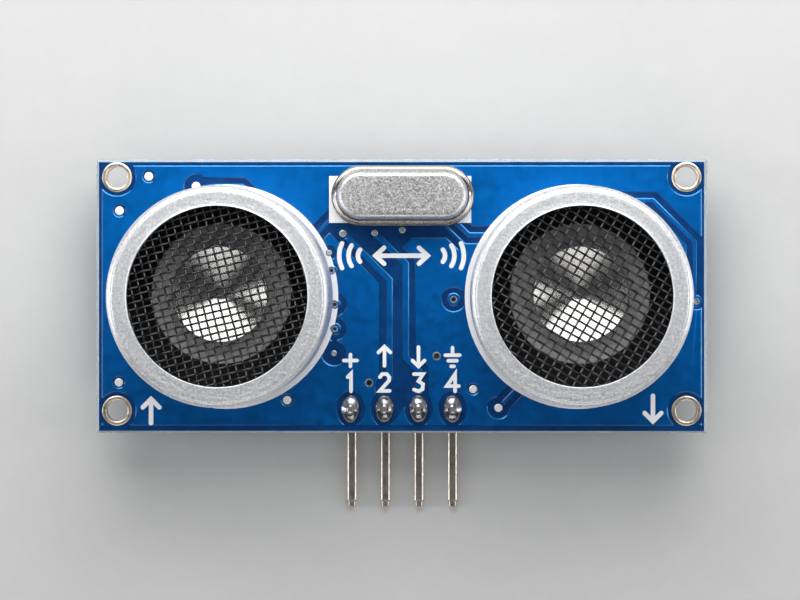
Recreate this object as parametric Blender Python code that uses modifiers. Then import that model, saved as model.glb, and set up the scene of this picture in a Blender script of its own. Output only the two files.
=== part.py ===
"""Ultrasonic distance sensor: a circuit board with two open-type transducers, a crystal and a bent pin header.

Sizes below are in millimetres and are turned into metres by MM. The board lies flat with its transducers
facing +Z and its header pins pointing along -Y. The origin is the centre of the underside of the bounding box.
"""

from math import cos, pi, radians, sin

import bmesh
import bpy
from mathutils import Matrix

MM = 0.001
GAP = 0.03  # clearance between pieces that touch on the real module
ROUND_STEPS = 48
SMALL_ROUND_STEPS = 20

# Circuit board
BOARD_LENGTH, BOARD_WIDTH, BOARD_THICKNESS = 45.7, 20.5, 1.6
SCORE_CHAMFER = 0.28  # V-score left on each long and short edge, front and back
MOUNT_HOLE_X, MOUNT_HOLE_Y = 21.25, 8.72
MOUNT_HOLE_SHIFT_Y = 0.15
PLATING_BORE_R, PLATING_BARREL_R, PLATING_PAD_R, PLATING_PAD_T = 0.8, 0.9, 1.12, 0.06

# Header: a plastic strip on the back, whose square pins bend towards the board's lower edge
PIN_WIDTH, PIN_PITCH, PIN_COUNT = 0.64, 2.54, 4
PIN_ROW_Y = -8.43
PIN_BEYOND_EDGE = 5.7
PIN_BEND_R = 0.6
PIN_ABOVE_BOARD = 1.3
PIN_TIP_LENGTH, PIN_TIP_SHARE = 0.4, 0.62
STRIP_DEPTH = STRIP_HEIGHT = 2.54
STRIP_NOTCH = 0.4
PIN_HOLE_R = 0.5
HEADER_SIGNALS = ("power", "trigger", "echo", "ground")
SOLDER_RADIUS, SOLDER_STRETCH, SOLDER_HEIGHT = 0.76, 1.36, 0.95

# Transducer, measured up from the board's front face
TRANSDUCER_X, TRANSDUCER_Y = 13.1, -0.055
CAN_R, CAN_WALL, CAN_HEIGHT, CAN_LIP_T, CAN_OPENING_R = 8.0, 0.4, 12.2, 0.5, 6.5
CAN_SHOULDER_R = 0.45
CAN_STANDOFF = 0.1
SCREEN_T = 0.27
BASE_BOTTOM, BASE_TOP, BASE_BOSS_TOP, BASE_BOSS_R = 0.4, 2.2, 3.0, 3.9
TERMINAL_R, TERMINAL_Y, TERMINAL_TOP, TERMINAL_BELOW_BOARD = 0.5, 5.08, 3.2, 1.4
ELASTIC_INNER_R, ELASTIC_OUTER_R, ELASTIC_TOP = 2.7, 3.7, 5.6
PIEZO_R, PIEZO_T = 4.4, 0.4
PLATE_R, PLATE_T = 5.1, 0.3
CONE_FOOT_R, CONE_RIM_R, CONE_HEIGHT, CONE_WALL = 1.0, 3.56, 1.53, 0.28
DISC_SHIFT_Y = 0.19  # the piezo, plate and horn sit this far off the can's axis
LEAD_WIRE_R = 0.12

# Crystal, measured up from the board's front face
CRYSTAL_X, CRYSTAL_Y = 0.1, 7.47
CRYSTAL_STRETCH = 3.075  # half the distance between the centres of its two round ends
CRYSTAL_FLANGE_R, CRYSTAL_CAN_R, CRYSTAL_WALL = 2.26, 1.75, 0.2
CRYSTAL_HEIGHT, CRYSTAL_SHOULDER_R = 3.5, 0.4
CRYSTAL_LEAD_X, CRYSTAL_LEAD_R, CRYSTAL_LEAD_BELOW = 2.44, 0.215, 1.2
QUARTZ_SIZE = (7.4, 1.9, 0.25)

# Chips on the back, measured down from the board's back face
IC_WIDTH, IC_THICKNESS, IC_STANDOFF, IC_DRAFT = 3.9, 1.45, 0.12, 0.14
IC_PITCH, IC_LEAD_WIDTH, IC_LEAD_REACH = 1.27, 0.42, 3.0

# Heights of the board's two faces over the plane that the header pins lie on
BOARD_BACK_Z = PIN_WIDTH / 2 + PIN_BEND_R + GAP + STRIP_HEIGHT + GAP
BOARD_FRONT_Z = BOARD_BACK_Z + BOARD_THICKNESS
BOARD_Y = PIN_BEYOND_EDGE / 2


# ---------------------------------------------------------------- scene and materials


def clear_scene():
    for obj in list(bpy.data.objects):
        bpy.data.objects.remove(obj)


def new_collection(name):
    collection = bpy.data.collections.new(name)
    bpy.context.scene.collection.children.link(collection)
    return collection


def material(name, colour, metallic, roughness):
    made = bpy.data.materials.new(name)
    made.use_nodes = True
    shader = made.node_tree.nodes["Principled BSDF"]
    shader.inputs["Base Color"].default_value = (*colour, 1.0)
    shader.inputs["Metallic"].default_value = metallic
    shader.inputs["Roughness"].default_value = roughness
    return made


def make_materials():
    return {
        "solder_mask": material("solder_mask", (0.0, 0.12, 0.42), 0.0, 0.35),
        "tin": material("tin", (0.72, 0.68, 0.6), 1.0, 0.35),
        "solder": material("solder", (0.62, 0.62, 0.64), 1.0, 0.2),
        "aluminium": material("aluminium", (0.78, 0.79, 0.81), 1.0, 0.45),
        "black_mesh": material("black_mesh", (0.03, 0.03, 0.03), 0.5, 0.45),
        "phenolic": material("phenolic", (0.02, 0.02, 0.02), 0.0, 0.55),
        "silicone": material("silicone", (0.75, 0.75, 0.72), 0.0, 0.6),
        "ceramic": material("ceramic", (0.55, 0.53, 0.46), 0.0, 0.5),
        "grey_metal": material("grey_metal", (0.25, 0.25, 0.24), 0.6, 0.55),
        "nickel": material("nickel", (0.66, 0.63, 0.57), 1.0, 0.35),
        "black_plastic": material("black_plastic", (0.02, 0.02, 0.02), 0.0, 0.45),
        "copper": material("copper", (0.75, 0.35, 0.2), 1.0, 0.3),
        "quartz": material("quartz", (0.85, 0.87, 0.88), 0.0, 0.1),
        "resistor": material("resistor", (0.04, 0.04, 0.05), 0.0, 0.4),
        "capacitor": material("capacitor", (0.42, 0.3, 0.18), 0.0, 0.5),
    }


# ---------------------------------------------------------------- modelling helpers


def place(obj, parent, location=(0, 0, 0), turn_z=0.0):
    """Puts obj at a location in millimetres in its parent's frame."""
    obj.parent = parent
    obj.location = [value * MM for value in location]
    obj.rotation_euler = (0, 0, turn_z)
    return obj


def new_object(name, data, collection, finish=None):
    obj = bpy.data.objects.new(name, data)
    collection.objects.link(obj)
    if finish is not None:
        data.materials.append(finish)
    return obj


def new_empty(name, parent, location, turn_z=0.0):
    empty = bpy.data.objects.new(name, None)
    bpy.context.scene.collection.objects.link(empty)
    return place(empty, parent, location, turn_z)


def mesh_from(bm, name, smooth=False):
    mesh = bpy.data.meshes.new(name)
    bm.to_mesh(mesh)
    bm.free()
    if smooth:
        mesh.shade_smooth()
        mesh.set_sharp_from_angle(angle=radians(35))
    return mesh


def add_box(bm, size, centre):
    """A box, with its size and centre in millimetres, added to a bmesh."""
    scale = Matrix.Diagonal([value * MM for value in size] + [1])
    move = Matrix.Translation([value * MM for value in centre])
    return bmesh.ops.create_cube(bm, size=1, matrix=move @ scale)["verts"]


def add_cylinder(bm, radius, bottom, top, x=0.0, y=0.0, steps=SMALL_ROUND_STEPS):
    """A vertical cylinder, in millimetres, added to a bmesh."""
    bmesh.ops.create_cone(
        bm,
        cap_ends=True,
        segments=steps,
        radius1=radius * MM,
        radius2=radius * MM,
        depth=(top - bottom) * MM,
        matrix=Matrix.Translation((x * MM, y * MM, (top + bottom) / 2 * MM)),
    )


def cylinder(name, radius, bottom, top, steps=SMALL_ROUND_STEPS):
    bm = bmesh.new()
    add_cylinder(bm, radius, bottom, top, steps=steps)
    return mesh_from(bm, name, smooth=True)


def arc(centre_r, centre_z, radius, start, end, steps):
    """Points (r, z) on an arc of a turned profile, with its angles in degrees from the outward direction."""
    angles = [radians(start + (end - start) * i / steps) for i in range(steps + 1)]
    return [(centre_r + radius * cos(a), centre_z + radius * sin(a)) for a in angles]


def turned_mesh(name, profile, closed, steps=ROUND_STEPS, stretch=0.0):
    """The solid that a profile of (r, z) points sweeps about Z, its outer side running down.

    A stretch pulls its two halves apart along X, which turns a round shape into one with straight sides.
    """
    bm = bmesh.new()
    points = [bm.verts.new((r * MM, 0, z * MM)) for r, z in profile]
    for start, end in zip(points, points[1:]):
        bm.edges.new((start, end))
    if closed:
        bm.edges.new((points[-1], points[0]))
    obj = bpy.data.objects.new(name, mesh_from(bm, name))
    bpy.context.scene.collection.objects.link(obj)
    screw = obj.modifiers.new("turn", "SCREW")
    screw.steps = screw.render_steps = steps
    screw.use_merge_vertices = True
    screw.merge_threshold = 1e-6
    bpy.context.view_layer.update()
    evaluated = obj.evaluated_get(bpy.context.evaluated_depsgraph_get())
    mesh = bpy.data.meshes.new_from_object(evaluated)
    bpy.data.objects.remove(obj)
    if stretch:
        mesh.transform(Matrix.Rotation(pi / steps, 4, "Z"))
        for vertex in mesh.vertices:
            if abs(vertex.co.x) > 1e-7:
                vertex.co.x += stretch * MM * (1 if vertex.co.x > 0 else -1)
    mesh.name = name
    mesh.shade_smooth()
    mesh.set_sharp_from_angle(angle=radians(35))
    return mesh


def outline_plate(name, outlines, thickness, collection, finish):
    """A flat plate in the XY plane, centred on z = 0, whose outlines after the first are holes."""
    curve = bpy.data.curves.new(name, "CURVE")
    curve.dimensions = "2D"
    curve.fill_mode = "BOTH"
    curve.extrude = thickness / 2 * MM
    for outline in outlines:
        spline = curve.splines.new("POLY")
        spline.points.add(len(outline) - 1)
        for point, (x, y) in zip(spline.points, outline):
            point.co = (x * MM, y * MM, 0, 1)
        spline.use_cyclic_u = True
    return new_object(name, curve, collection, finish)


def meshed(obj, collection):
    """The curve object as a mesh object of the same name, with its caps welded on."""
    bpy.context.view_layer.update()
    evaluated = obj.evaluated_get(bpy.context.evaluated_depsgraph_get())
    bm = bmesh.new()
    bm.from_mesh(bpy.data.meshes.new_from_object(evaluated))
    bmesh.ops.remove_doubles(bm, verts=bm.verts, dist=1e-7)
    finish = obj.data.materials[0]
    name, matrix, parent = obj.name, obj.matrix_world.copy(), obj.parent
    bpy.data.objects.remove(obj)
    made = new_object(name, mesh_from(bm, name), collection, finish)
    made.parent = parent
    made.matrix_world = matrix
    return made


def cut(obj, bm, cutters):
    """Cuts the closed shapes of a bmesh, given in obj's own frame, out of obj."""
    cutter = new_object("cutter_" + obj.name, mesh_from(bm, "cutter_" + obj.name), cutters)
    cutter.parent = obj
    hide_helper(cutter)
    boolean = obj.modifiers.new("holes", "BOOLEAN")
    boolean.operation = "DIFFERENCE"
    boolean.object = cutter


def hide_helper(obj):
    obj.hide_render = True
    obj.display_type = "WIRE"


# ---------------------------------------------------------------- circuit board


def header_pin_xs():
    return [(i - (PIN_COUNT - 1) / 2) * PIN_PITCH for i in range(PIN_COUNT)]


def mount_holes():
    """(name, x, y) of each mounting hole in the board's frame."""
    return [
        (f"{row}_{side}", sx * MOUNT_HOLE_X, sy * MOUNT_HOLE_Y + MOUNT_HOLE_SHIFT_Y)
        for row, sy in (("top", 1), ("bottom", -1))
        for side, sx in (("left", -1), ("right", 1))
    ]


def make_board(board, parts, cutters, finishes):
    """The laminate: a slab with a V-score chamfer along its edges, drilled for every through-hole piece."""
    bm = bmesh.new()
    add_box(bm, (BOARD_LENGTH, BOARD_WIDTH, BOARD_THICKNESS), (0, 0, -BOARD_THICKNESS / 2))
    rims = [e for e in bm.edges if abs(e.verts[0].co.z - e.verts[1].co.z) < 1e-9]
    bmesh.ops.bevel(bm, geom=rims, offset=SCORE_CHAMFER * MM, segments=1, affect="EDGES")
    slab = new_object("circuit_board", mesh_from(bm, "circuit_board"), parts, finishes["solder_mask"])
    place(slab, board)

    holes = [(PLATING_BARREL_R + GAP, x, y) for _, x, y in mount_holes()]
    holes += [(PIN_HOLE_R, x, PIN_ROW_Y) for x in header_pin_xs()]
    holes += [
        (TERMINAL_R + 0.1, side * TRANSDUCER_X, TRANSDUCER_Y + end * TERMINAL_Y)
        for side in (-1, 1)
        for end in (-1, 1)
    ]
    holes += [(0.35, CRYSTAL_X + side * CRYSTAL_LEAD_X, CRYSTAL_Y) for side in (-1, 1)]
    drills = bmesh.new()
    for radius, x, y in holes:
        add_cylinder(drills, radius, -BOARD_THICKNESS - 1, 1, x, y)
    cut(slab, drills, cutters)


def make_plated_holes(board, parts, finishes):
    """Each mounting hole's tinned lining: a barrel with a round pad on the front and on the back."""
    top, bottom = GAP + PLATING_PAD_T, -BOARD_THICKNESS - GAP - PLATING_PAD_T
    profile = [
        (PLATING_BORE_R, top),
        (PLATING_PAD_R, top),
        (PLATING_PAD_R, GAP),
        (PLATING_BARREL_R, GAP),
        (PLATING_BARREL_R, -BOARD_THICKNESS - GAP),
        (PLATING_PAD_R, -BOARD_THICKNESS - GAP),
        (PLATING_PAD_R, bottom),
        (PLATING_BORE_R, bottom),
    ]
    for name, x, y in mount_holes():
        mesh = turned_mesh("plated_hole_" + name, profile, closed=True, steps=24)
        place(new_object("plated_hole_" + name, mesh, parts, finishes["tin"]), board, (x, y, 0))


# ---------------------------------------------------------------- header


def strip_outline():
    """The header strip's outline: one block for each pin, with a notch between neighbours."""
    half, depth = PIN_PITCH / 2, STRIP_DEPTH / 2
    lower = []
    for x in header_pin_xs():
        lower += [
            (x - half, -depth + STRIP_NOTCH),
            (x - half + STRIP_NOTCH, -depth),
            (x + half - STRIP_NOTCH, -depth),
        ]
    lower.append((header_pin_xs()[-1] + half, -depth + STRIP_NOTCH))
    return lower + [(x, -y) for x, y in reversed(lower)]


def make_header_strip(board, parts, finishes):
    hole = PIN_WIDTH / 2 + GAP
    corners = ((-1, -1), (1, -1), (1, 1), (-1, 1))
    holes = [[(x + sx * hole, sy * hole) for sx, sy in corners] for x in header_pin_xs()]
    strip = outline_plate(
        "header_strip", [strip_outline(), *holes], STRIP_HEIGHT, parts, finishes["black_plastic"]
    )
    place(strip, board, (0, PIN_ROW_Y, -BOARD_THICKNESS - GAP - STRIP_HEIGHT / 2))


def pin_route():
    """The centreline of a header pin: (y, z, share of full width) from its soldered end to its plug end."""
    board_frame_floor = PIN_WIDTH / 2 - BOARD_FRONT_Z
    tip_y = -BOARD_WIDTH / 2 - PIN_BEYOND_EDGE
    bend_y, bend_z = PIN_ROW_Y - PIN_BEND_R, board_frame_floor + PIN_BEND_R
    bend = [
        (bend_y + PIN_BEND_R * cos(a), bend_z - PIN_BEND_R * sin(a), 1)
        for a in [radians(90 * i / 5) for i in range(6)]
    ]
    return [
        (PIN_ROW_Y, PIN_ABOVE_BOARD, PIN_TIP_SHARE),
        (PIN_ROW_Y, PIN_ABOVE_BOARD - PIN_TIP_LENGTH, 1),
        *bend,
        (tip_y + PIN_TIP_LENGTH, board_frame_floor, 1),
        (tip_y, board_frame_floor, PIN_TIP_SHARE),
    ]


def make_header_pins(board, parts, cutters, finishes):
    """Square pins: a square section swept along one bent route, narrowed at both tips."""
    section = bpy.data.curves.new("pin_section", "CURVE")
    section.dimensions = "2D"
    outline = section.splines.new("POLY")
    outline.points.add(3)
    half = PIN_WIDTH / 2 * MM
    for point, (sx, sy) in zip(outline.points, ((-1, -1), (-1, 1), (1, 1), (1, -1))):
        point.co = (sx * half, sy * half, 0, 1)
    outline.use_cyclic_u = True
    section_object = new_object("pin_section", section, cutters)
    hide_helper(section_object)

    for signal, x in zip(HEADER_SIGNALS, header_pin_xs()):
        name = "header_pin_" + signal
        curve = bpy.data.curves.new(name, "CURVE")
        curve.dimensions = "3D"
        curve.bevel_mode = "OBJECT"
        curve.bevel_object = section_object
        curve.use_fill_caps = True
        spline = curve.splines.new("POLY")
        route = pin_route()
        spline.points.add(len(route) - 1)
        for point, (y, z, share) in zip(spline.points, route):
            point.co = (0, y * MM, z * MM, 1)
            point.radius = share
        place(new_object(name, curve, parts, finishes["nickel"]), board, (x, 0, 0))


def make_header_solder(board, parts, finishes):
    """The solder on each pin's front end: an oblong mound that rises to the pin."""
    inner = PIN_WIDTH / 2 * 2**0.5 + GAP
    rise = [
        (SOLDER_RADIUS - (SOLDER_RADIUS - inner - 0.06) * share**1.7, SOLDER_HEIGHT * share + GAP)
        for share in (1.0, 0.8, 0.6, 0.4, 0.2, 0.0)
    ]
    profile = [(inner, SOLDER_HEIGHT + GAP), *rise, (inner, GAP)]
    for signal, x in zip(HEADER_SIGNALS, header_pin_xs()):
        name = "header_solder_" + signal
        mesh = turned_mesh(name, profile, closed=True, steps=20)
        mesh.transform(Matrix.Diagonal((1, SOLDER_STRETCH, 1, 1)))
        place(new_object(name, mesh, parts, finishes["solder"]), board, (x, PIN_ROW_Y, 0))


# ---------------------------------------------------------------- transducers


def can_profile():
    inner = CAN_R - CAN_WALL
    shoulder = arc(
        CAN_R - CAN_SHOULDER_R, CAN_HEIGHT - CAN_SHOULDER_R, CAN_SHOULDER_R, 90, 0, 5
    )
    return [
        (CAN_OPENING_R + 0.08, CAN_HEIGHT),
        *shoulder,
        (CAN_R, CAN_STANDOFF + 0.25),
        (CAN_R - 0.2, CAN_STANDOFF),
        (inner - 0.4, CAN_STANDOFF),
        (inner - 0.4, BASE_BOTTOM - GAP),
        (inner, BASE_BOTTOM - GAP),
        (inner, CAN_HEIGHT - CAN_LIP_T),
        (CAN_OPENING_R, CAN_HEIGHT - CAN_LIP_T),
        (CAN_OPENING_R, CAN_HEIGHT - 0.08),
    ]


def cone_profile(bottom):
    """The horn: a shallow cone on a small foot, open towards the front."""
    rim_z, floor_z = bottom + CONE_HEIGHT, bottom + 0.3
    return [
        (0, floor_z),
        (CONE_FOOT_R - CONE_WALL, floor_z),
        (CONE_RIM_R - CONE_WALL, rim_z),
        (CONE_RIM_R, rim_z),
        (CONE_FOOT_R, bottom + 0.12),
        (CONE_FOOT_R, bottom),
        (0, bottom),
    ]


def base_profile(can_inner):
    return [
        (0, BASE_BOSS_TOP),
        (BASE_BOSS_R, BASE_BOSS_TOP),
        (BASE_BOSS_R, BASE_TOP),
        (can_inner, BASE_TOP),
        (can_inner, BASE_BOTTOM),
        (0, BASE_BOTTOM),
    ]


def lead_wire(name, end, collection, finish):
    """The thin wire from a terminal's inner end up to the piezo disc's underside."""
    start_y, start_z = TERMINAL_Y - TERMINAL_R - LEAD_WIRE_R - GAP, TERMINAL_TOP - 0.3
    stop_y, stop_z = PIEZO_R - LEAD_WIRE_R - GAP, ELASTIC_TOP - LEAD_WIRE_R
    curve = bpy.data.curves.new(name, "CURVE")
    curve.dimensions = "3D"
    curve.bevel_depth = LEAD_WIRE_R * MM
    curve.bevel_resolution = 1
    curve.use_fill_caps = True
    spline = curve.splines.new("POLY")
    steps = 7
    spline.points.add(steps)
    for i, point in enumerate(spline.points):
        share = i / steps
        slack = 0.45 * sin(pi * share)
        y = start_y + (stop_y - start_y) * share
        z = start_z + (stop_z - start_z) * share
        point.co = (slack * MM, end * y * MM, z * MM, 1)
    return new_object(name, curve, collection, finish)


def make_transducer(name, board, x, parts, cutters, finishes):
    """One open-type ultrasonic transducer, from its outer can down to the disc that rings at 40 kHz."""
    origin = new_empty(name, board, (x, TRANSDUCER_Y, 0))
    can_inner = CAN_R - CAN_WALL - GAP

    def add(part, mesh, finish):
        return place(new_object(f"{name}_{part}", mesh, parts, finishes[finish]), origin)

    add("can", turned_mesh(name + "_can", can_profile(), closed=True), "aluminium")
    screen_top = CAN_HEIGHT - CAN_LIP_T - GAP
    screen = cylinder(name + "_screen", can_inner, screen_top - SCREEN_T, screen_top, ROUND_STEPS)
    add("screen", screen, "black_mesh")

    base = add("base", turned_mesh(name + "_base", base_profile(can_inner), closed=False), "phenolic")
    sockets = bmesh.new()
    for end in (-1, 1):
        add_cylinder(sockets, TERMINAL_R + GAP, 0, TERMINAL_TOP, 0, end * TERMINAL_Y)
    cut(base, sockets, cutters)

    ring = [
        (ELASTIC_INNER_R, ELASTIC_TOP),
        (ELASTIC_OUTER_R, ELASTIC_TOP),
        (ELASTIC_OUTER_R, BASE_BOSS_TOP + GAP),
        (ELASTIC_INNER_R, BASE_BOSS_TOP + GAP),
    ]
    add("elastic_ring", turned_mesh(name + "_elastic_ring", ring, closed=True, steps=32), "silicone")
    piezo_bottom = ELASTIC_TOP + GAP
    piezo_top = piezo_bottom + PIEZO_T
    piezo_mesh = cylinder(name + "_piezo_disc", PIEZO_R, piezo_bottom, piezo_top, 40)
    plate_bottom = piezo_top + GAP
    plate_top = plate_bottom + PLATE_T
    plate_mesh = cylinder(name + "_plate", PLATE_R, plate_bottom, plate_top, 40)
    horn_mesh = turned_mesh(name + "_horn", cone_profile(plate_top + GAP), closed=False, steps=40)
    piezo = add("piezo_disc", piezo_mesh, "ceramic")
    plate = add("vibrating_plate", plate_mesh, "grey_metal")
    horn = add("horn", horn_mesh, "aluminium")
    for disc in (piezo, plate, horn):
        disc.location = (0, DISC_SHIFT_Y * MM, 0)

    for side, end in (("upper", 1), ("lower", -1)):
        low, high = -BOARD_THICKNESS - TERMINAL_BELOW_BOARD, TERMINAL_TOP
        part = f"terminal_{side}"
        terminal = add(part, cylinder(f"{name}_{part}", TERMINAL_R, low, high), "tin")
        terminal.location = (0, end * TERMINAL_Y * MM, 0)
        wire = lead_wire(f"{name}_lead_wire_{side}", end, parts, finishes["copper"])
        place(wire, origin)


# ---------------------------------------------------------------- crystal


def make_crystal(board, parts, cutters, finishes):
    """The quartz crystal: a flat base and a drawn can, both with straight sides and round ends."""
    origin = new_empty("crystal", board, (CRYSTAL_X, CRYSTAL_Y, 0))
    flange_bottom, seam, flange_top = 0.08, 0.5, 0.78
    inner_r = CRYSTAL_CAN_R - CRYSTAL_WALL
    shoulder = arc(
        CRYSTAL_CAN_R - CRYSTAL_SHOULDER_R,
        CRYSTAL_HEIGHT - CRYSTAL_SHOULDER_R,
        CRYSTAL_SHOULDER_R,
        90,
        0,
        4,
    )
    can = [
        (0, CRYSTAL_HEIGHT),
        *shoulder,
        (CRYSTAL_CAN_R, flange_top),
        (CRYSTAL_FLANGE_R, flange_top),
        (CRYSTAL_FLANGE_R, seam + GAP),
        (inner_r, seam + GAP),
        (inner_r, CRYSTAL_HEIGHT - CRYSTAL_WALL),
        (0, CRYSTAL_HEIGHT - CRYSTAL_WALL),
    ]
    base = [
        (0, seam + 0.45),
        (inner_r - GAP, seam + 0.45),
        (inner_r - GAP, seam),
        (CRYSTAL_FLANGE_R, seam),
        (CRYSTAL_FLANGE_R, flange_bottom),
        (0, flange_bottom),
    ]
    can_mesh = turned_mesh("crystal_can", can, closed=False, steps=32, stretch=CRYSTAL_STRETCH)
    place(new_object("crystal_can", can_mesh, parts, finishes["nickel"]), origin)
    base_mesh = turned_mesh("crystal_base", base, closed=False, steps=32, stretch=CRYSTAL_STRETCH)
    base_object = place(new_object("crystal_base", base_mesh, parts, finishes["nickel"]), origin)
    seals = bmesh.new()
    for side, x in (("left", -CRYSTAL_LEAD_X), ("right", CRYSTAL_LEAD_X)):
        add_cylinder(seals, CRYSTAL_LEAD_R + GAP, -1, 2, x, 0)
        name = "crystal_lead_" + side
        bottom = -BOARD_THICKNESS - CRYSTAL_LEAD_BELOW
        lead = new_object(name, cylinder(name, CRYSTAL_LEAD_R, bottom, 1.9, 14), parts, finishes["tin"])
        place(lead, origin, (x, 0, 0))
    cut(base_object, seals, cutters)

    bm = bmesh.new()
    add_box(bm, QUARTZ_SIZE, (0, 0, 1.95 + QUARTZ_SIZE[2] / 2))
    blank = new_object("crystal_quartz_blank", mesh_from(bm, "crystal_quartz_blank"), parts)
    blank.data.materials.append(finishes["quartz"])
    place(blank, origin)


# ---------------------------------------------------------------- chips on the back


def lead_outline(reach, body_half):
    """One gull-wing lead seen end on, from inside the body out to its foot, with the board at z = 0."""
    knee, foot_top, foot_bottom = body_half + 0.25, -GAP, -GAP - 0.2
    return [
        (body_half - 0.6, -0.7),
        (knee - 0.1, -0.7),
        (knee + 0.2, foot_top),
        (reach, foot_top),
        (reach, foot_bottom),
        (knee + 0.34, foot_bottom),
        (knee + 0.04, -0.9),
        (body_half - 0.6, -0.9),
    ]


def leads_mesh(name, outline, places, collection, cutters, finish):
    """All of a package's leads as one mesh of separate solids. places holds (side, y) for each lead."""
    plate = meshed(outline_plate(name, [outline], IC_LEAD_WIDTH, collection, finish), cutters)
    single = plate.data
    single.transform(Matrix.Rotation(pi / 2, 4, "X"))
    bm = bmesh.new()
    for side, y in places:
        copy = single.copy()
        copy.transform(Matrix.Rotation(0 if side > 0 else pi, 4, "Z"))
        copy.transform(Matrix.Translation((0, y * MM, 0)))
        bm.from_mesh(copy)
    bpy.data.objects.remove(plate)
    return mesh_from(bm, name)


def make_package(name, back, size, reach, leads, location, parts, cutters, finishes):
    """A moulded package under the board: a drafted block joined to its bent leads."""
    width, length, thickness = size
    bm = bmesh.new()
    middle = -IC_STANDOFF - thickness / 2
    add_box(bm, size, (0, 0, middle))
    everything = bm.verts[:] + bm.edges[:] + bm.faces[:]
    bmesh.ops.bisect_plane(bm, geom=everything, plane_co=(0, 0, middle * MM), plane_no=(0, 0, 1))
    for vertex in bm.verts:
        if abs(vertex.co.z - middle * MM) > 1e-6:
            vertex.co.x *= 1 - 2 * IC_DRAFT / width
            vertex.co.y *= 1 - 2 * IC_DRAFT / length
    package = new_object(name, mesh_from(bm, name), parts, finishes["black_plastic"])
    place(package, back, location)

    outline = lead_outline(reach, width / 2)
    lead_frame = leads_mesh(name + "_leads", outline, leads, parts, cutters, finishes["tin"])
    frame = new_object("joined_" + name, lead_frame, cutters)
    frame.parent = package
    hide_helper(frame)
    union = package.modifiers.new("leads", "BOOLEAN")
    union.operation = "UNION"
    union.object = frame


def dual_row(count):
    """(side, y) of each lead of a package with count leads in two rows."""
    per_side = count // 2
    ys = [(i - (per_side - 1) / 2) * IC_PITCH for i in range(per_side)]
    return [(side, y) for side in (-1, 1) for y in ys]


def make_packages(back, parts, cutters, finishes):
    for name, x, y, length, pins in (
        ("transmit_driver_chip", -7.3, 0.2, 9.9, 16),
        ("controller_chip", 0.0, -0.9, 8.65, 14),
        ("echo_amplifier_chip", 7.3, 0.2, 8.65, 14),
    ):
        size = (IC_WIDTH, length, IC_THICKNESS)
        leads = dual_row(pins)
        make_package(name, back, size, IC_LEAD_REACH, leads, (x, y, 0), parts, cutters, finishes)
    size = (1.3, 2.9, 1.05)
    leads = [(-1, -0.95), (-1, 0.95), (1, 0)]
    make_package("transistor", back, size, 1.25, leads, (16.2, -6.4, 0), parts, cutters, finishes)


def make_chip_components(back, parts, finishes):
    """The two-ended resistors and capacitors: a block whose end caps stand a little proud of its middle."""
    resistor, capacitor = (1.6, 0.8, 0.45), (1.6, 0.8, 0.8)
    row_y = 7.0
    components = [
        *((f"resistor_{i + 1}", resistor, (5.6 + 1.7 * i, row_y), 90) for i in range(3)),
        *((f"resistor_{i + 4}", resistor, (11.8, 1.9 - 1.9 * i), 90) for i in range(3)),
        ("resistor_7", resistor, (17.0, 2.4), 0),
        ("resistor_8", resistor, (17.0, 0.8), 0),
        *((f"capacitor_{i + 1}", capacitor, (-5.6 - 1.7 * i, row_y), 90) for i in range(3)),
        ("capacitor_4", capacitor, (17.0, -1.4), 0),
        ("supply_capacitor", (2.0, 1.25, 1.25), (-8.2, -7.2), 0),
    ]
    cap, proud = 0.32, 0.04
    for name, (length, width, height), (x, y), turn in components:
        half, low, high = length / 2, -GAP - height, -GAP
        outline = [
            (-half, low),
            (-half + cap, low),
            (-half + cap, low + proud),
            (half - cap, low + proud),
            (half - cap, low),
            (half, low),
            (half, high),
            (half - cap, high),
            (half - cap, high - proud),
            (-half + cap, high - proud),
            (-half + cap, high),
            (-half, high),
        ]
        finish = finishes["resistor" if name.startswith("resistor") else "capacitor"]
        plate = outline_plate(name, [outline], width, parts, finish)
        place(plate, back, (x, y, 0))
        plate.rotation_euler = (pi / 2, 0, radians(turn))


# ---------------------------------------------------------------- assembly


def main():
    clear_scene()
    parts, cutters = new_collection("ultrasonic_distance_sensor"), new_collection("cutters")
    finishes = make_materials()
    board = new_empty("board_front", None, (0, BOARD_Y, BOARD_FRONT_Z))
    back = new_empty("board_back", board, (0, 0, -BOARD_THICKNESS))

    make_board(board, parts, cutters, finishes)
    make_plated_holes(board, parts, finishes)
    make_header_strip(board, parts, finishes)
    make_header_pins(board, parts, cutters, finishes)
    make_header_solder(board, parts, finishes)
    make_transducer("transmitter", board, -TRANSDUCER_X, parts, cutters, finishes)
    make_transducer("receiver", board, TRANSDUCER_X, parts, cutters, finishes)
    make_crystal(board, parts, cutters, finishes)
    make_packages(back, parts, cutters, finishes)
    make_chip_components(back, parts, finishes)


main()
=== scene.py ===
from math import atan2, cos, hypot, pi, radians, sin

import bmesh
import bpy
import numpy as np
from mathutils import Matrix, Vector, noise
from mathutils.geometry import delaunay_2d_cdt


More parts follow.
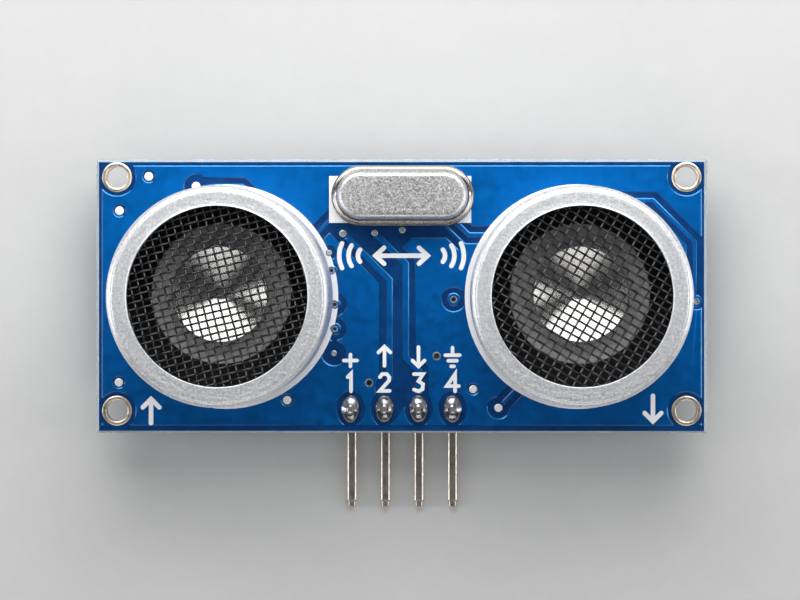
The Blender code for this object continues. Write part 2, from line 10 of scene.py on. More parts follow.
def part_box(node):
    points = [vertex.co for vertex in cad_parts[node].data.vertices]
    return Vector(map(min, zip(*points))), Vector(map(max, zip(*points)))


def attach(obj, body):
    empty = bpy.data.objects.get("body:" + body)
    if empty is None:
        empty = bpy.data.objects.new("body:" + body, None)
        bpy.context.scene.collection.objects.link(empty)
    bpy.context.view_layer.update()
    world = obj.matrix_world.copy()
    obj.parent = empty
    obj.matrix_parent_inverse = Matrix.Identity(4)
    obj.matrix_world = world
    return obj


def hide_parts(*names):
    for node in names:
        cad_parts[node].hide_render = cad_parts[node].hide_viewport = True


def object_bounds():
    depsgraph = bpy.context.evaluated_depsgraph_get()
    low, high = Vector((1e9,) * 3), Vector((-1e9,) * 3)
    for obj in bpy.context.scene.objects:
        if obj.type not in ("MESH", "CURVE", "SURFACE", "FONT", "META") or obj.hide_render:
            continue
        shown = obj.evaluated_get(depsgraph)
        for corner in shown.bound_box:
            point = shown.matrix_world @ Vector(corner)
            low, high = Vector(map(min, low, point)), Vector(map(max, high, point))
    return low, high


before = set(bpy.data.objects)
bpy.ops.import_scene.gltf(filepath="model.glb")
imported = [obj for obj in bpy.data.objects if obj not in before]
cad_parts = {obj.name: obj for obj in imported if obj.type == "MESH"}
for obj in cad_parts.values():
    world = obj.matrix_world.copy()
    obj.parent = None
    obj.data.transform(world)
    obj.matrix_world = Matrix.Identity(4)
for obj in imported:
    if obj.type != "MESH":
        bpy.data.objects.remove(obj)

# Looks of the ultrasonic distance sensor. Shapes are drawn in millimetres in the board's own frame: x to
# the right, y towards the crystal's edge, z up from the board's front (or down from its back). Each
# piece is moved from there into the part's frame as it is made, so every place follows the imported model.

MM = 0.001
BODY = "root"
CAD_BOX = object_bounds()

# ---------------------------------------------------------------- places read from the frame


def node_box(name):
    """Lowest and highest corner of a CAD node, in metres."""
    low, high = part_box(name)
    return Vector(low), Vector(high)


BOARD_LOW, BOARD_HIGH = node_box("circuit_board")
FRONT = Vector(((BOARD_LOW.x + BOARD_HIGH.x) / 2, (BOARD_LOW.y + BOARD_HIGH.y) / 2, BOARD_HIGH.z))
HALF_LENGTH = (BOARD_HIGH.x - BOARD_LOW.x) / 2 / MM
HALF_WIDTH = (BOARD_HIGH.y - BOARD_LOW.y) / 2 / MM
THICKNESS = (BOARD_HIGH.z - BOARD_LOW.z) / MM


def on_board(name):
    """A CAD node's box in board millimetres: (centre x, centre y, low corner, high corner)."""
    low, high = node_box(name)
    low, high = (low - FRONT) / MM, (high - FRONT) / MM
    return (low.x + high.x) / 2, (low.y + high.y) / 2, low, high


UNITS = ("transmitter", "receiver")
SIGNALS = ("power", "trigger", "echo", "ground")
HOLE_NAMES = [f"plated_hole_{row}_{side}" for row in ("top", "bottom") for side in ("left", "right")]
MOUNT_HOLES = [on_board(name)[:2] for name in HOLE_NAMES]
PAD_R = (on_board(HOLE_NAMES[0])[3].x - on_board(HOLE_NAMES[0])[2].x) / 2
PINS = [on_board("header_solder_" + signal)[:2] for signal in SIGNALS]
TERMINALS = [on_board(f"{unit}_terminal_{side}")[:2] for unit in UNITS for side in ("upper", "lower")]
CRYSTAL_LEADS = [on_board("crystal_lead_" + side)[:2] for side in ("left", "right")]

# ---------------------------------------------------------------- materials


SOCKETS = {
    "coat_weight": "Coat Weight",
    "coat_roughness": "Coat Roughness",
    "specular_level": "Specular IOR Level",
}


class Look:
    """A Principled material whose texture coordinates are millimetres."""

    def __init__(self, name, colour, roughness, metallic=0.0, **sockets):
        self.material = bpy.data.materials.new(name)
        self.material.use_nodes = True
        self.nodes = self.material.node_tree.nodes
        self.links = self.material.node_tree.links
        self.shader = self.nodes["Principled BSDF"]
        self.set("Base Color", (*colour, 1.0))
        self.set("Roughness", roughness)
        self.set("Metallic", metallic)
        for socket, value in sockets.items():
            self.set(SOCKETS[socket], value)
        coordinates = self.node("TexCoord").outputs["Object"]
        self.place = self.mapped(coordinates, (1 / MM, 1 / MM, 1 / MM))

    def feed(self, socket, value):
        """Links a socket to another one, or gives it a value."""
        if isinstance(value, bpy.types.NodeSocket):
            self.links.new(value, socket)
        else:
            socket.default_value = value

    def set(self, socket, value):
        self.feed(self.shader.inputs[socket], value)

    def node(self, kind, **inputs):
        """A new node, with its inputs fed; an input's name has _ for each space."""
        node = self.nodes.new("ShaderNode" + kind)
        for name, value in inputs.items():
            self.feed(node.inputs[name.replace("_", " ")], value)
        return node

    def mapped(self, source, scale):
        return self.node("Mapping", Vector=source, Scale=scale).outputs["Vector"]

    def noise(self, scale, detail=3.0, roughness=0.55, stretch=(1, 1, 1), distortion=0.0):
        """Noise with about `scale` features a millimetre, stretched by dividing each axis."""
        place = self.mapped(self.place, [1 / s for s in stretch]) if stretch != (1, 1, 1) else self.place
        node = self.node("TexNoise", Vector=place, Scale=scale, Detail=detail, Roughness=roughness)
        self.feed(node.inputs["Distortion"], distortion)
        return node.outputs["Fac"]

    def spread(self, fac, low, high, from_low=0.3, from_high=0.7):
        """fac, which mostly lies between from_low and from_high, spread over low to high."""
        node = self.node("MapRange", Value=fac, From_Min=from_low, From_Max=from_high)
        self.feed(node.inputs["To Min"], low)
        self.feed(node.inputs["To Max"], high)
        return node.outputs["Result"]

    def blend(self, fac, first, second):
        """A colour between first and second, each a colour or a socket."""
        node = self.node("Mix")
        node.data_type = "RGBA"
        self.feed(node.inputs["Factor"], fac)
        for name, value in (("A", first), ("B", second)):
            socket = next(i for i in node.inputs if i.name == name and i.type == "RGBA")
            self.feed(socket, value if isinstance(value, bpy.types.NodeSocket) else (*value, 1.0))
        return next(o for o in node.outputs if o.type == "RGBA")

    def tint(self, fac, first, second):
        self.set("Base Color", self.blend(fac, first, second))

    def add(self, first, second):
        node = self.node("Math")
        node.operation = "ADD"
        self.feed(node.inputs[0], first)
        self.feed(node.inputs[1], second)
        return node.outputs[0]

    def bump(self, height, depth, strength):
        """Relief of a depth in millimetres."""
        node = self.node("Bump", Strength=strength, Distance=depth * MM, Height=height)
        self.set("Normal", node.outputs["Normal"])


def mask_over_copper():
    """Blue solder mask with copper under it: a tinted sheen, a faint weave and small drifts of colour."""
    coat = {"coat_weight": 0.8, "coat_roughness": 0.12, "specular_level": 0.1}
    look = Look("mask_over_copper", (0.0, 0.16, 0.5), 0.42, metallic=0.92, **coat)
    drift = look.spread(look.noise(0.35, 4), 0.0, 1.0)
    colour = look.blend(drift, (0.0, 0.155, 0.535), (0.0, 0.17, 0.59))
    weave = look.add(look.noise(2.2, 2, stretch=(9, 1, 1)), look.noise(2.2, 2, stretch=(1, 9, 1)))
    look.tint(look.spread(weave, 0.0, 0.3, 0.7, 1.3), colour, (0.0, 0.1, 0.38))
    look.set("Roughness", look.spread(look.noise(1.4, 4), 0.38, 0.5))
    look.bump(look.add(look.noise(3.0, 3), weave), 0.004, 0.5)
    return look.material


def slope_mask_lit_or_shaded(name, pale, dark, metallic):
    """Mask running down off a copper edge, thin over the copper, with random tone between dark and pale;
    one look is a painted highlight on edges facing up the board, the other painted shade on edges facing
    down.
    """
    coat = {"coat_weight": 0.5, "coat_roughness": 0.2, "specular_level": 0.1}
    look = Look(name, pale, 0.38, metallic, **coat)
    look.tint(look.spread(look.noise(1.2, 4), 0.0, 1.0), dark, pale)
    look.bump(look.noise(3.0, 3), 0.004, 0.5)
    return look.material


def mask_over_laminate():
    """The same mask where the copper is etched away: deep blue."""
    coat = {"coat_weight": 0.8, "coat_roughness": 0.14, "specular_level": 0.1}
    look = Look("mask_over_laminate", (0.0, 0.03, 0.14), 0.4, **coat)
    drift = look.spread(look.noise(0.9, 4), 0.0, 1.0)
    look.tint(drift, (0.0, 0.03, 0.13), (0.0, 0.05, 0.2))
    look.set("Roughness", look.spread(look.noise(2.5, 3), 0.3, 0.46))
    look.bump(look.noise(2.5, 4), 0.006, 0.5)
    return look.material


def fibreglass():
    """The laminate's broken edge: pale resin with frayed glass fibres in layers."""
    look = Look("fibreglass_edge", (0.5, 0.57, 0.61), 0.75)
    layers = look.noise(5.0, 3, stretch=(8, 8, 0.5))
    frayed = look.noise(7.0, 5)
    resin = look.blend(look.spread(layers, 0.0, 1.0), (0.3, 0.38, 0.43), (0.52, 0.62, 0.68))
    look.tint(look.spread(frayed, 0.0, 0.6, 0.45, 0.75), resin, (0.74, 0.82, 0.87))
    look.bump(look.add(layers, frayed), 0.03, 0.8)
    return look.material


def silkscreen():
    look = Look("silkscreen_white", (0.86, 0.88, 0.89), 0.55)
    thin = look.spread(look.noise(5.0, 4), 0.0, 0.3, 0.5, 0.8)
    look.tint(thin, (0.96, 0.975, 0.985), (0.72, 0.82, 0.9))
    look.bump(look.noise(9.0, 3), 0.004, 0.6)
    return look.material


def can_metal(name, drawn=False):
    """Aluminium of the cans: fine speckle on the rim, and drawn lines with scuffs down the sides."""
    look = Look(name, (0.84, 0.85, 0.87), 0.42, metallic=1.0)
    stretch = (1, 1, 14) if drawn else (1, 1, 1)
    grey = (0.7, 0.73, 0.79)
    speckle = look.noise(5.5, 5, 0.7, stretch=stretch)
    stain = look.noise(0.7, 4, distortion=0.6)
    colour = look.blend(look.spread(speckle, 0.0, 1.0, 0.38, 0.62), grey, (1.0, 0.99, 0.98))
    look.tint(look.spread(stain, 0.0, 0.4, 0.5, 0.75), colour, grey)
    look.set("Roughness", look.spread(speckle, 0.36, 0.58))
    look.bump(look.add(speckle, look.noise(11.0, 3, stretch=stretch)), 0.016, 0.7)
    return look.material


def shades(colour, darker, lighter):
    """A colour made darker and lighter by a share of itself."""
    return tuple(c * (1 - darker) for c in colour), tuple(min(1.0, c * (1 + lighter)) for c in colour)


def metal(name, colour, roughness, grain=4.0, stretch=(1, 1, 1), depth=0.006, contrast=0.25, metallic=1.0):
    """A metal with grain in its colour, roughness and surface."""
    look = Look(name, colour, roughness, metallic)
    fine = look.noise(grain, 5, 0.65, stretch=stretch)
    dark, light = shades(colour, contrast, contrast * 0.6)
    look.tint(look.spread(fine, 0.0, 1.0), dark, light)
    look.set("Roughness", look.spread(look.noise(grain * 0.5, 4), roughness * 0.75, roughness * 1.3))
    look.bump(fine, depth, 0.7)
    return look.material


def moulded(name, colour, roughness, grain=8.0, depth=0.008, variation=0.35):
    """A non-metal with grain: plastic, ceramic, silicone, paint."""
    look = Look(name, colour, roughness)
    fine = look.noise(grain, 4)
    both = look.add(fine, look.noise(grain * 0.12, 3))
    dark, light = shades(colour, variation, variation)
    look.tint(look.spread(both, 0.0, 1.0, 0.75, 1.25), dark, light)
    look.set("Roughness", look.spread(fine, roughness * 0.85, min(1.0, roughness * 1.2)))
    look.bump(fine, depth, 0.6)
    return look.material


def turned_aluminium():
    """The horn: bright, with a faint haze."""
    look = Look("turned_aluminium", (0.8, 0.78, 0.75), 0.21, metallic=0.95)
    haze = look.noise(1.5, 3)
    look.tint(look.spread(haze, 0.0, 1.0), (0.76, 0.74, 0.71), (0.86, 0.84, 0.81))
    look.set("Roughness", look.spread(haze, 0.19, 0.23))
    return look.material


def terminal_with_painted_shade():
    """A transducer terminal: near black from just above the board up into the can as painted shade, tinned
    where it leaves the board.
    """
    look = Look("terminal_shade_painted_in_can", (0.6, 0.6, 0.6), 0.4)
    height = look.node("SeparateXYZ", Vector=look.place).outputs["Z"]
    ragged = look.add(height, look.spread(look.noise(3.0, 3), -0.15, 0.15))
    shade_from, shade_to = FRONT.z / MM + 0.4, FRONT.z / MM + 0.6
    # Near black above the board inside the can: painted shade
    inside = look.spread(ragged, 0.0, 1.0, shade_from, shade_to)
    look.tint(inside, (0.85, 0.85, 0.83), (0.012, 0.012, 0.012))
    look.set("Metallic", look.spread(ragged, 1.0, 0.0, shade_from, shade_to))
    look.bump(look.noise(6.0, 3), 0.01, 0.6)
    return look.material


LOOKS = {
    "mask_copper": mask_over_copper(),
    # Sloping mask edges: a pale look with a painted highlight where they face up the board, a deep blue
    # look with painted shade where they face away
    "painted_highlight_slope": slope_mask_lit_or_shaded("mask_thin_slope_with_painted_highlight", (0.03, 0.21, 0.46), (0.005, 0.12, 0.34), 0.8),
    "painted_shade_slope": slope_mask_lit_or_shaded("mask_slope_with_painted_shade", (0.0, 0.07, 0.25), (0.0, 0.045, 0.18), 0.5),
    "mask_laminate": mask_over_laminate(),
    "fibreglass": fibreglass(),
    "silkscreen": silkscreen(),
    "rim": can_metal("can_aluminium_rim"),
    "wall": can_metal("can_aluminium_wall", drawn=True),
    "horn": turned_aluminium(),
    "plate": metal("vibrating_plate_grey", (0.93, 0.93, 0.88), 0.72, 5.0, depth=0.05, contrast=0.3),
    "wire": metal("screen_wire_black", (0.06, 0.06, 0.062), 0.16, 12.0, depth=0.002),
    "phenolic": moulded("base_phenolic_black", (0.012, 0.012, 0.012), 0.6),
    "silicone": moulded("elastic_ring_silicone", (0.62, 0.62, 0.58), 0.6, variation=0.1),
    "piezo": moulded("piezo_ceramic", (0.5, 0.47, 0.4), 0.5, variation=0.15),
    "crystal": metal("crystal_nickel", (0.8, 0.78, 0.74), 0.42, 12.0, contrast=0.6),
    "flange": metal("crystal_flange_nickel", (0.66, 0.61, 0.55), 0.19, 5.0, depth=0.002, contrast=0.12),
    "ring": metal("hole_ring_tin", (0.86, 0.74, 0.6), 0.36, 5.0, contrast=0.15),
    "solder": metal("solder_bright", (0.46, 0.46, 0.48), 0.2, depth=0.014, contrast=0.35),
    "tin": metal("tinned_copper", (0.96, 0.97, 0.98), 0.5, 6.0, contrast=0.07, metallic=0.5),
    "terminal": terminal_with_painted_shade(),
    "via": metal("via_tin", (0.5, 0.56, 0.6), 0.45, 6.0, contrast=0.2),
    "pin": metal("pin_nickel", (0.57, 0.515, 0.45), 0.34, 5.0, (4, 0.5, 4), 0.0, 0.16, 0.9),
    "lead": metal("chip_lead_tin", (0.76, 0.76, 0.77), 0.32, 6.0, contrast=0.2),
    "enamel": moulded("wire_enamel_brown", (0.05, 0.02, 0.012), 0.35),
    "header": moulded("header_plastic_black", (0.014, 0.014, 0.015), 0.45),
    "chip": moulded("chip_mould_compound", (0.022, 0.022, 0.024), 0.55, 14.0, 0.01),
    "resistor": moulded("resistor_glaze_black", (0.02, 0.02, 0.024), 0.3),
    "alumina": moulded("resistor_alumina_white", (0.8, 0.79, 0.75), 0.5, variation=0.08),
    "capacitor": moulded("capacitor_ceramic_tan", (0.36, 0.24, 0.14), 0.42, variation=0.2),
    "quartz": moulded("quartz_clear", (0.8, 0.84, 0.86), 0.12, variation=0.05),
    "floor": moulded("floor_pale", (0.62, 0.62, 0.615), 0.85, 0.6, 0.05, 0.02),
}

# ---------------------------------------------------------------- mesh tools


CORNERS = ((-1, -1), (1, -1), (1, 1), (-1, 1))
CAP_STEPS = 6  # in the round end of a line
SOFT_EDGE = {"segments": 2, "profile": 0.6, "affect": "EDGES"}


def placed(name, data):
    """A new object in the scene."""
    obj = bpy.data.objects.new(name, data)
    bpy.context.scene.collection.objects.link(obj)
    return obj


def evaluated(obj):
    """The mesh of an object with its modifiers at work."""
    bpy.context.view_layer.update()
    seen = obj.evaluated_get(bpy.context.evaluated_depsgraph_get())
    return bpy.data.meshes.new_from_object(seen)


def mesh_of(bm):
    mesh = bpy.data.meshes.new("work")
    bm.to_mesh(mesh)
    bm.free()
    return mesh


def bm_of(mesh):
    bm = bmesh.new()
    bm.from_mesh(mesh)
    return bm


def turn_outward(bm):
    """Turns the faces of each closed shell to look out of it, so that its volume is above zero."""
    bm.normal_update()
    bmesh.ops.recalc_face_normals(bm, faces=bm.faces)
    waiting = set(bm.faces)
    while waiting:
        shell = [waiting.pop()]
        for face in shell:
            near = {other for edge in face.edges for other in edge.link_faces} & waiting
            waiting -= near
            shell += near
        volume = 0.0
        for face in shell:
            volume += face.calc_center_median().dot(face.normal) * face.calc_area()
        if volume < 0:
            bmesh.ops.reverse_faces(bm, faces=shell)


def piece(name, bm, looks, slot, on_back=False, replaces=(), smooth_angle=40):
    """Turns a bmesh in board millimetres into a finished piece that rides on the part."""
    if on_back:
        bm.transform(Matrix.Translation((0, 0, -THICKNESS)) @ Matrix.Diagonal((1, 1, -1, 1)))
    bm.transform(Matrix.Translation(FRONT) @ Matrix.Scale(MM, 4))
    turn_outward(bm)
    mesh = mesh_of(bm)
    mesh.name = name
    for look in [looks] if isinstance(looks, str) else looks:
        mesh.materials.append(LOOKS[look])
    if smooth_angle:
        mesh.shade_smooth()
        mesh.set_sharp_from_angle(angle=radians(smooth_angle))
    obj = placed(name, mesh)
    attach(obj, BODY)
    if replaces:
        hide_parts(*replaces)
    return obj


def heading(start, end):
    """The angle of the way from one point to another."""
    return atan2(end[1] - start[1], end[0] - start[0])


def bend_between(before, after):
    """How far a line turns from one heading to the next, from -pi to pi."""
    return (after - before + pi) % (2 * pi) - pi


def polar(centre, radius, angle):
    return centre[0] + radius * cos(angle), centre[1] + radius * sin(angle)


def arc(x, y, radius, start, end, steps=8):
    """Points on an arc, with angles in degrees; in a profile, x is the radius and y is the height."""
    return [polar((x, y), radius, radians(start + (end - start) * i / steps)) for i in range(steps + 1)]


def circle(x, y, radius, steps, stretch=1.0):
    return [
        (x + radius * cos(2 * pi * i / steps), y + radius * stretch * sin(2 * pi * i / steps))
        for i in range(steps)
    ]


def stroke(points, width):
    """The outline of a line of a width through points, with mitred corners and round ends."""
    half = width / 2
    headings = [heading(start, end) for start, end in zip(points, points[1:])]
    left, right = [], []
    for i, point in enumerate(points):
        if 0 < i < len(headings):
            bend = bend_between(headings[i - 1], headings[i])
            turn, reach = headings[i - 1] + bend / 2 + pi / 2, half / cos(bend / 2)
        else:
            turn, reach = headings[0 if i == 0 else -1] + pi / 2, half
        left.append(polar(point, reach, turn))
        right.append(polar(point, -reach, turn))

    def cap(centre, start):
        return [polar(centre, half, start - pi * k / CAP_STEPS) for k in range(1, CAP_STEPS)]

    far_cap, near_cap = cap(points[-1], headings[-1] + pi / 2), cap(points[0], headings[0] - pi / 2)
    return left + far_cap + right[::-1] + near_cap


def loft(bm, rings):
    """A solid between rings of corners, with a face over the first ring and one over the last."""
    bm.faces.new(rings[0])
    bm.faces.new(rings[-1][::-1])
    for first, second in zip(rings, rings[1:]):
        for i in range(len(first)):
            j = (i + 1) % len(first)
            bm.faces.new((first[j], first[i], second[i], second[j]))


def prism(outline, low, high):
    """A straight-sided solid over an outline."""
    bm = bmesh.new()
    loft(bm, [[bm.verts.new((x, y, z)) for x, y in outline] for z in (high, low)])
    bmesh.ops.recalc_face_normals(bm, faces=bm.faces)
    return mesh_of(bm)


def joined(base, others, operation):
    """The mesh base after a boolean with each mesh of others."""
    holder = placed("work_base", base)
    helpers = [placed("work_other", mesh) for mesh in others]
    for helper in helpers:
        boolean = holder.modifiers.new("boolean", "BOOLEAN")
        boolean.operation = operation
        boolean.solver = "EXACT"
        boolean.object = helper
    made = evaluated(holder)
    for helper in [holder, *helpers]:
        bpy.data.objects.remove(helper)
    return made


class Disc:
    """A round or oval area of a flat layer."""

    def __init__(self, x, y, radius, steps=28, stretch=1.0):
        self.x, self.y, self.radius, self.steps, self.stretch = x, y, radius, steps, stretch

    def outline(self, grow):
        wide, tall = self.radius + grow, self.radius * self.stretch + grow
        return circle(self.x, self.y, wide, self.steps, tall / wide) if wide > 0.01 else []


class Track:
    """A line of a width, such as a copper route or a printed stroke."""

    def __init__(self, points, width):
        self.points, self.width = points, width

    def outline(self, grow):
        return stroke(self.points, self.width + 2 * grow) if self.width + 2 * grow > 0.01 else []


class Patch:
    """An area with straight sides, its corners listed anticlockwise."""

    def __init__(self, corners):
        self.corners = corners

    def outline(self, grow):
        moved = []
        for i, corner in enumerate(self.corners):
            start = heading(self.corners[i - 1], corner)
            bend = bend_between(start, heading(corner, self.corners[(i + 1) % len(self.corners)]))
            moved.append(polar(corner, grow / cos(bend / 2), start + bend / 2 - pi / 2))
        return moved


def box_corners(x, y, half_x, half_y):
    return [(x + sx * half_x, y + sy * half_y) for sx, sy in CORNERS]


def box_patch(x, y, wide, tall):
    return Patch(box_corners(x, y, wide / 2, tall / 2))


def covered(points, outline):
    """Which of the points (an N by 2 array) lie inside an outline."""
    inside = np.zeros(len(points), bool)
    x, y = points[:, 0], points[:, 1]
    for (ax, ay), (bx, by) in zip(outline, outline[1:] + outline[:1]):
        if ay != by:
            crosses = (ay > y) != (by > y)
            inside ^= crosses & (x < ax + (y - ay) * (bx - ax) / (by - ay))
    return inside


def slope_light_or_shade(face):
    """Which look a sloping face takes: 1, with a painted highlight, where it faces up the board or to the
    right, else 2, with painted shade.
    """
    face.normal_update()
    flat = Vector((face.normal.x, face.normal.y))
    return 1 if flat.length > 0.05 and flat.normalized().dot(Vector((0.45, 0.89))) > 0.35 else 2


class Layer:
    """A flat layer built up in steps: ("add" or "cut", shapes) in order."""

    def __init__(self, *steps):
        self.steps = steps

    def outlines(self, shrink):
        """Each step's action with each of its outlines, drawn so that the layer shrinks by an amount."""
        for action, shapes in self.steps:
            for shape in shapes:
                outline = shape.outline(-shrink if action == "add" else shrink)
                if outline:
                    yield action, outline

    def holds(self, points, shrink):
        """Which of the points lie in the layer after it has shrunk."""
        inside = np.zeros(len(points), bool)
        for action, outline in self.outlines(shrink):
            area = covered(points, outline)
            inside = inside | area if action == "add" else inside & ~area
        return inside

    def solid(self, low, high, slope=0.0, drop=0.0):
        """The layer as a closed solid; its top runs down by drop over the last `slope` to its edge."""
        spots, edges = [], []
        for shrink in (0.0, slope) if slope else (0.0,):
            for _, outline in self.outlines(shrink):
                first = len(spots)
                spots += [Vector(point) for point in outline]
                edges += [(first + i, first + (i + 1) % len(outline)) for i in range(len(outline))]
        spots, _, triangles, _, _, _ = delaunay_2d_cdt(spots, edges, [], 0, 1e-4)
        places = np.array([(v.x, v.y) for v in spots])
        middles = places[np.array(triangles)].mean(axis=1)
        kept = [tri for tri, keep in zip(triangles, self.holds(middles, 0.0)) if keep]
        raised = self.holds(places, slope * 0.9) if slope else np.ones(len(spots), bool)
        bm = bmesh.new()
        top = [bm.verts.new((*place, high - (0 if up else drop))) for place, up in zip(places, raised)]
        bottom = [bm.verts.new((*place, low)) for place in places]
        rims = {}
        for tri in kept:
            face = bm.faces.new([top[i] for i in tri])
            # Sloping top faces take a painted highlight or painted shade by the way they face
            face.material_index = slope_light_or_shade(face) if slope and not all(raised[i] for i in tri) else 0
            bm.faces.new([bottom[i] for i in reversed(tri)])
            for pair in ((tri[0], tri[1]), (tri[1], tri[2]), (tri[2], tri[0])):
                rims[pair] = True
        for a, b in rims:
            if (b, a) not in rims:
                face = bm.faces.new((top[b], top[a], bottom[a], bottom[b]))
                # Side faces also take a painted highlight or painted shade by the way they face
                face.material_index = slope_light_or_shade(face) if slope else 0
        bmesh.ops.delete(bm, geom=[v for v in bm.verts if not v.link_faces], context="VERTS")
        return bm


def add_turned(bm, profile, steps=48, centre=(0.0, 0.0), stretch_y=1.0, closed=True):
    """A profile of (r, z) points swept about a vertical axis at centre."""
    part = bmesh.new()
    verts = [part.verts.new((r, 0, z)) for r, z in profile]
    pairs = list(zip(verts, verts[1:]))
    if closed:
        pairs.append((verts[-1], verts[0]))
    edges = [part.edges.new(pair) for pair in pairs]
    spin = {"cent": (0, 0, 0), "axis": (0, 0, 1), "angle": 2 * pi, "steps": steps, "use_merge": True}
    bmesh.ops.spin(part, geom=verts + edges, **spin)
    bmesh.ops.remove_doubles(part, verts=part.verts, dist=1e-5)
    part.transform(Matrix.Translation((*centre, 0)) @ Matrix.Diagonal((1, stretch_y, 1, 1)))
    bmesh.ops.recalc_face_normals(part, faces=part.faces)
    bm.from_mesh(mesh_of(part))


def add_box(bm, low, high, bevel, segments=2):
    """A box between two corners, with rounded edges."""
    part = bmesh.new()
    bmesh.ops.create_cube(part, size=1)
    size = Vector(high) - Vector(low)
    centre = (Vector(high) + Vector(low)) / 2
    part.transform(Matrix.Translation(centre) @ Matrix.Diagonal((*size, 1)))
    bmesh.ops.bevel(part, geom=part.edges[:], offset=bevel, **{**SOFT_EDGE, "segments": segments})
    bm.from_mesh(mesh_of(part))


def add_wires(bm, runs, radius):
    """A round wire through the points of each run."""
    curve = bpy.data.curves.new("work_wire", "CURVE")
    curve.dimensions = "3D"
    curve.bevel_depth = radius
    curve.bevel_resolution = 1
    curve.use_fill_caps = True
    for run in runs:
        spline = curve.splines.new("POLY")
        spline.points.add(len(run) - 1)
        for point, place in zip(spline.points, run):
            point.co = (*place, 1)
    holder = placed("work_wire", curve)
    bm.from_mesh(evaluated(holder))
    bpy.data.objects.remove(holder)


# ---------------------------------------------------------------- circuit board

# How far the pale V-score faces reach in from each side
EDGE_STRIP = {"left": 0.24, "right": 0.27, "top": 0.245, "bottom": 0.16}
CORE_TOP, MASK_TOP, COPPER_TOP, INK_TOP = -0.03, 0.0, 0.07, 0.088
SUNK = -0.02  # copper, rings and solder start inside the mask, so that nothing shows under them
MID_BOARD = -0.8  # the rings of both sides meet here
SLOPE_WIDTH, SLOPE_DROP = 0.085, 0.04  # where the mask runs down off the copper
POUR_INSETS = ((0.45, 0.45), (0.55, 0.51))  # left and right, bottom and top
TRACE_GAP = 0.4
PLUG_R = 0.29  # smaller ones are holes plugged with solder, larger ones are tinned dots
CLEAR_R = 1.38
MOUNT_DRILL_R = 0.9
LINING_R = 0.8

# Each signal's route on the front: (width, points)
FRONT_ROUTES = [
    (0.53, [(-4.37, 4.66), (-0.91, 1.20), (-0.91, -6.2), (-1.27, -6.9), (-1.27, -8.4)]),
    (0.56, [(-2.0, 4.66), (0.29, 2.37), (0.29, -4.62), (1.27, -5.6), (1.27, -8.4)]),
    (0.41, [(3.1, 6.4), (5.02, 4.545), (8.0, 4.545)]),
    (0.37, [(-4.7, 6.3), (-7.0, 3.9)]),
    (0.37, [(16.4, 7.12), (18.75, 7.12), (21.86, 4.02), (21.86, -0.4)]),
    (0.37, [(-15.34, 8.19), (-11.9, 8.19), (-10.9, 7.2)]),
    (0.35, [(7.23, -8.35), (8.7, -6.85)]),
]
# Where the copper is etched away between them, under and below the crystal
BARE_PATCH = [
    *[(-5.34, 4.71), (-1.59, 0.96), (-1.59, -7.9), (-0.55, -9.2), (0.5, -7.9), (1.93, -7.9)],
    *[(1.93, -5.45), (0.95, -4.47), (0.95, 2.66), (0.02, 3.59), (0.72, 4.354), (3.37, 4.354)],
    *[(4.22, 3.50), (4.50, 3.79), (3.2, 5.1), (3.2, 6.6), (-4.6, 6.6), (-4.6, 5.45)],
]
# (x, y, hole radius or None where solder fills it, pad radius, clearance radius or None)
FRONT_VIAS = [
    (-4.37, 4.66, None, 0.28, 0.5),
    (-2.0, 4.70, None, 0.24, 0.5),
    (0.06, 4.92, None, 0.24, 0.45),
    (3.89, -0.27, 0.16, 0.31, 0.87),
    (-4.99, -0.65, 0.13, 0.28, 0.84),
    (-4.99, -2.46, 0.13, 0.28, 0.84),
    (-5.04, -4.28, None, 0.22, 0.9),
    (-5.40, 3.22, None, 0.22, 0.5),
    (-5.22, 1.89, 0.12, 0.26, 0.5),
    (-2.42, -6.49, 0.21, 0.32, None),
    (2.63, -4.49, 0.21, 0.32, None),
    (21.98, -0.40, 0.14, 0.28, 0.6),
    (-18.88, 8.92, None, 0.33, None),
    (-21.07, 6.36, None, 0.33, None),
    (-15.34, 8.19, None, 0.33, 0.87),
    (-21.11, -6.46, None, 0.31, None),
    (-8.54, -7.78, None, 0.31, None),
    (5.35, -6.96, None, 0.3, None),
    (7.23, -8.35, None, 0.3, 0.8),
]
SOLDER_R, SOLDER_STRETCH = 0.78, 1.36
MOAT_STRETCH = 1.3


def drills():
    """Each hole that goes right through the board."""
    sizes = ((MOUNT_HOLES, MOUNT_DRILL_R), (PINS, 0.46), (TERMINALS, 0.6), (CRYSTAL_LEADS, 0.33))
    holes = [(x, y, radius) for places, radius in sizes for x, y in places]
    holes += [(x, y, hole + 0.02) for x, y, hole, _, _ in FRONT_VIAS if hole]
    return [Disc(x, y, r, 40 if r > 0.5 else 16) for x, y, r in holes]


def border(spacing):
    """Points round the board's outline: (x, y, outward x, outward y, side)."""
    corners = box_corners(0, 0, HALF_LENGTH, HALF_WIDTH)
    ways_out = {"bottom": (0, -1), "right": (1, 0), "top": (0, 1), "left": (-1, 0)}
    points = []
    for (side, outward), start, end in zip(ways_out.items(), corners, corners[1:] + corners[:1]):
        count = round(hypot(end[0] - start[0], end[1] - start[1]) / spacing)
        for i in range(count):
            share = (i + 0.5) / count
            x = start[0] + (end[0] - start[0]) * share
            y = start[1] + (end[1] - start[1]) * share
            points.append((x, y, *outward, side))
    return points


def clamp_inside(x, y, inset_x, inset_y):
    """Keeps an outline point at least its insets inside the board, so that corners stay square."""
    x = max(-HALF_LENGTH + inset_x[0], min(HALF_LENGTH - inset_x[1], x))
    y = max(-HALF_WIDTH + inset_y[0], min(HALF_WIDTH - inset_y[1], y))
    return x, y


def mask_insets(extra=0.0):
    strip = {side: width + extra for side, width in EDGE_STRIP.items()}
    return (strip["left"], strip["right"]), (strip["bottom"], strip["top"])


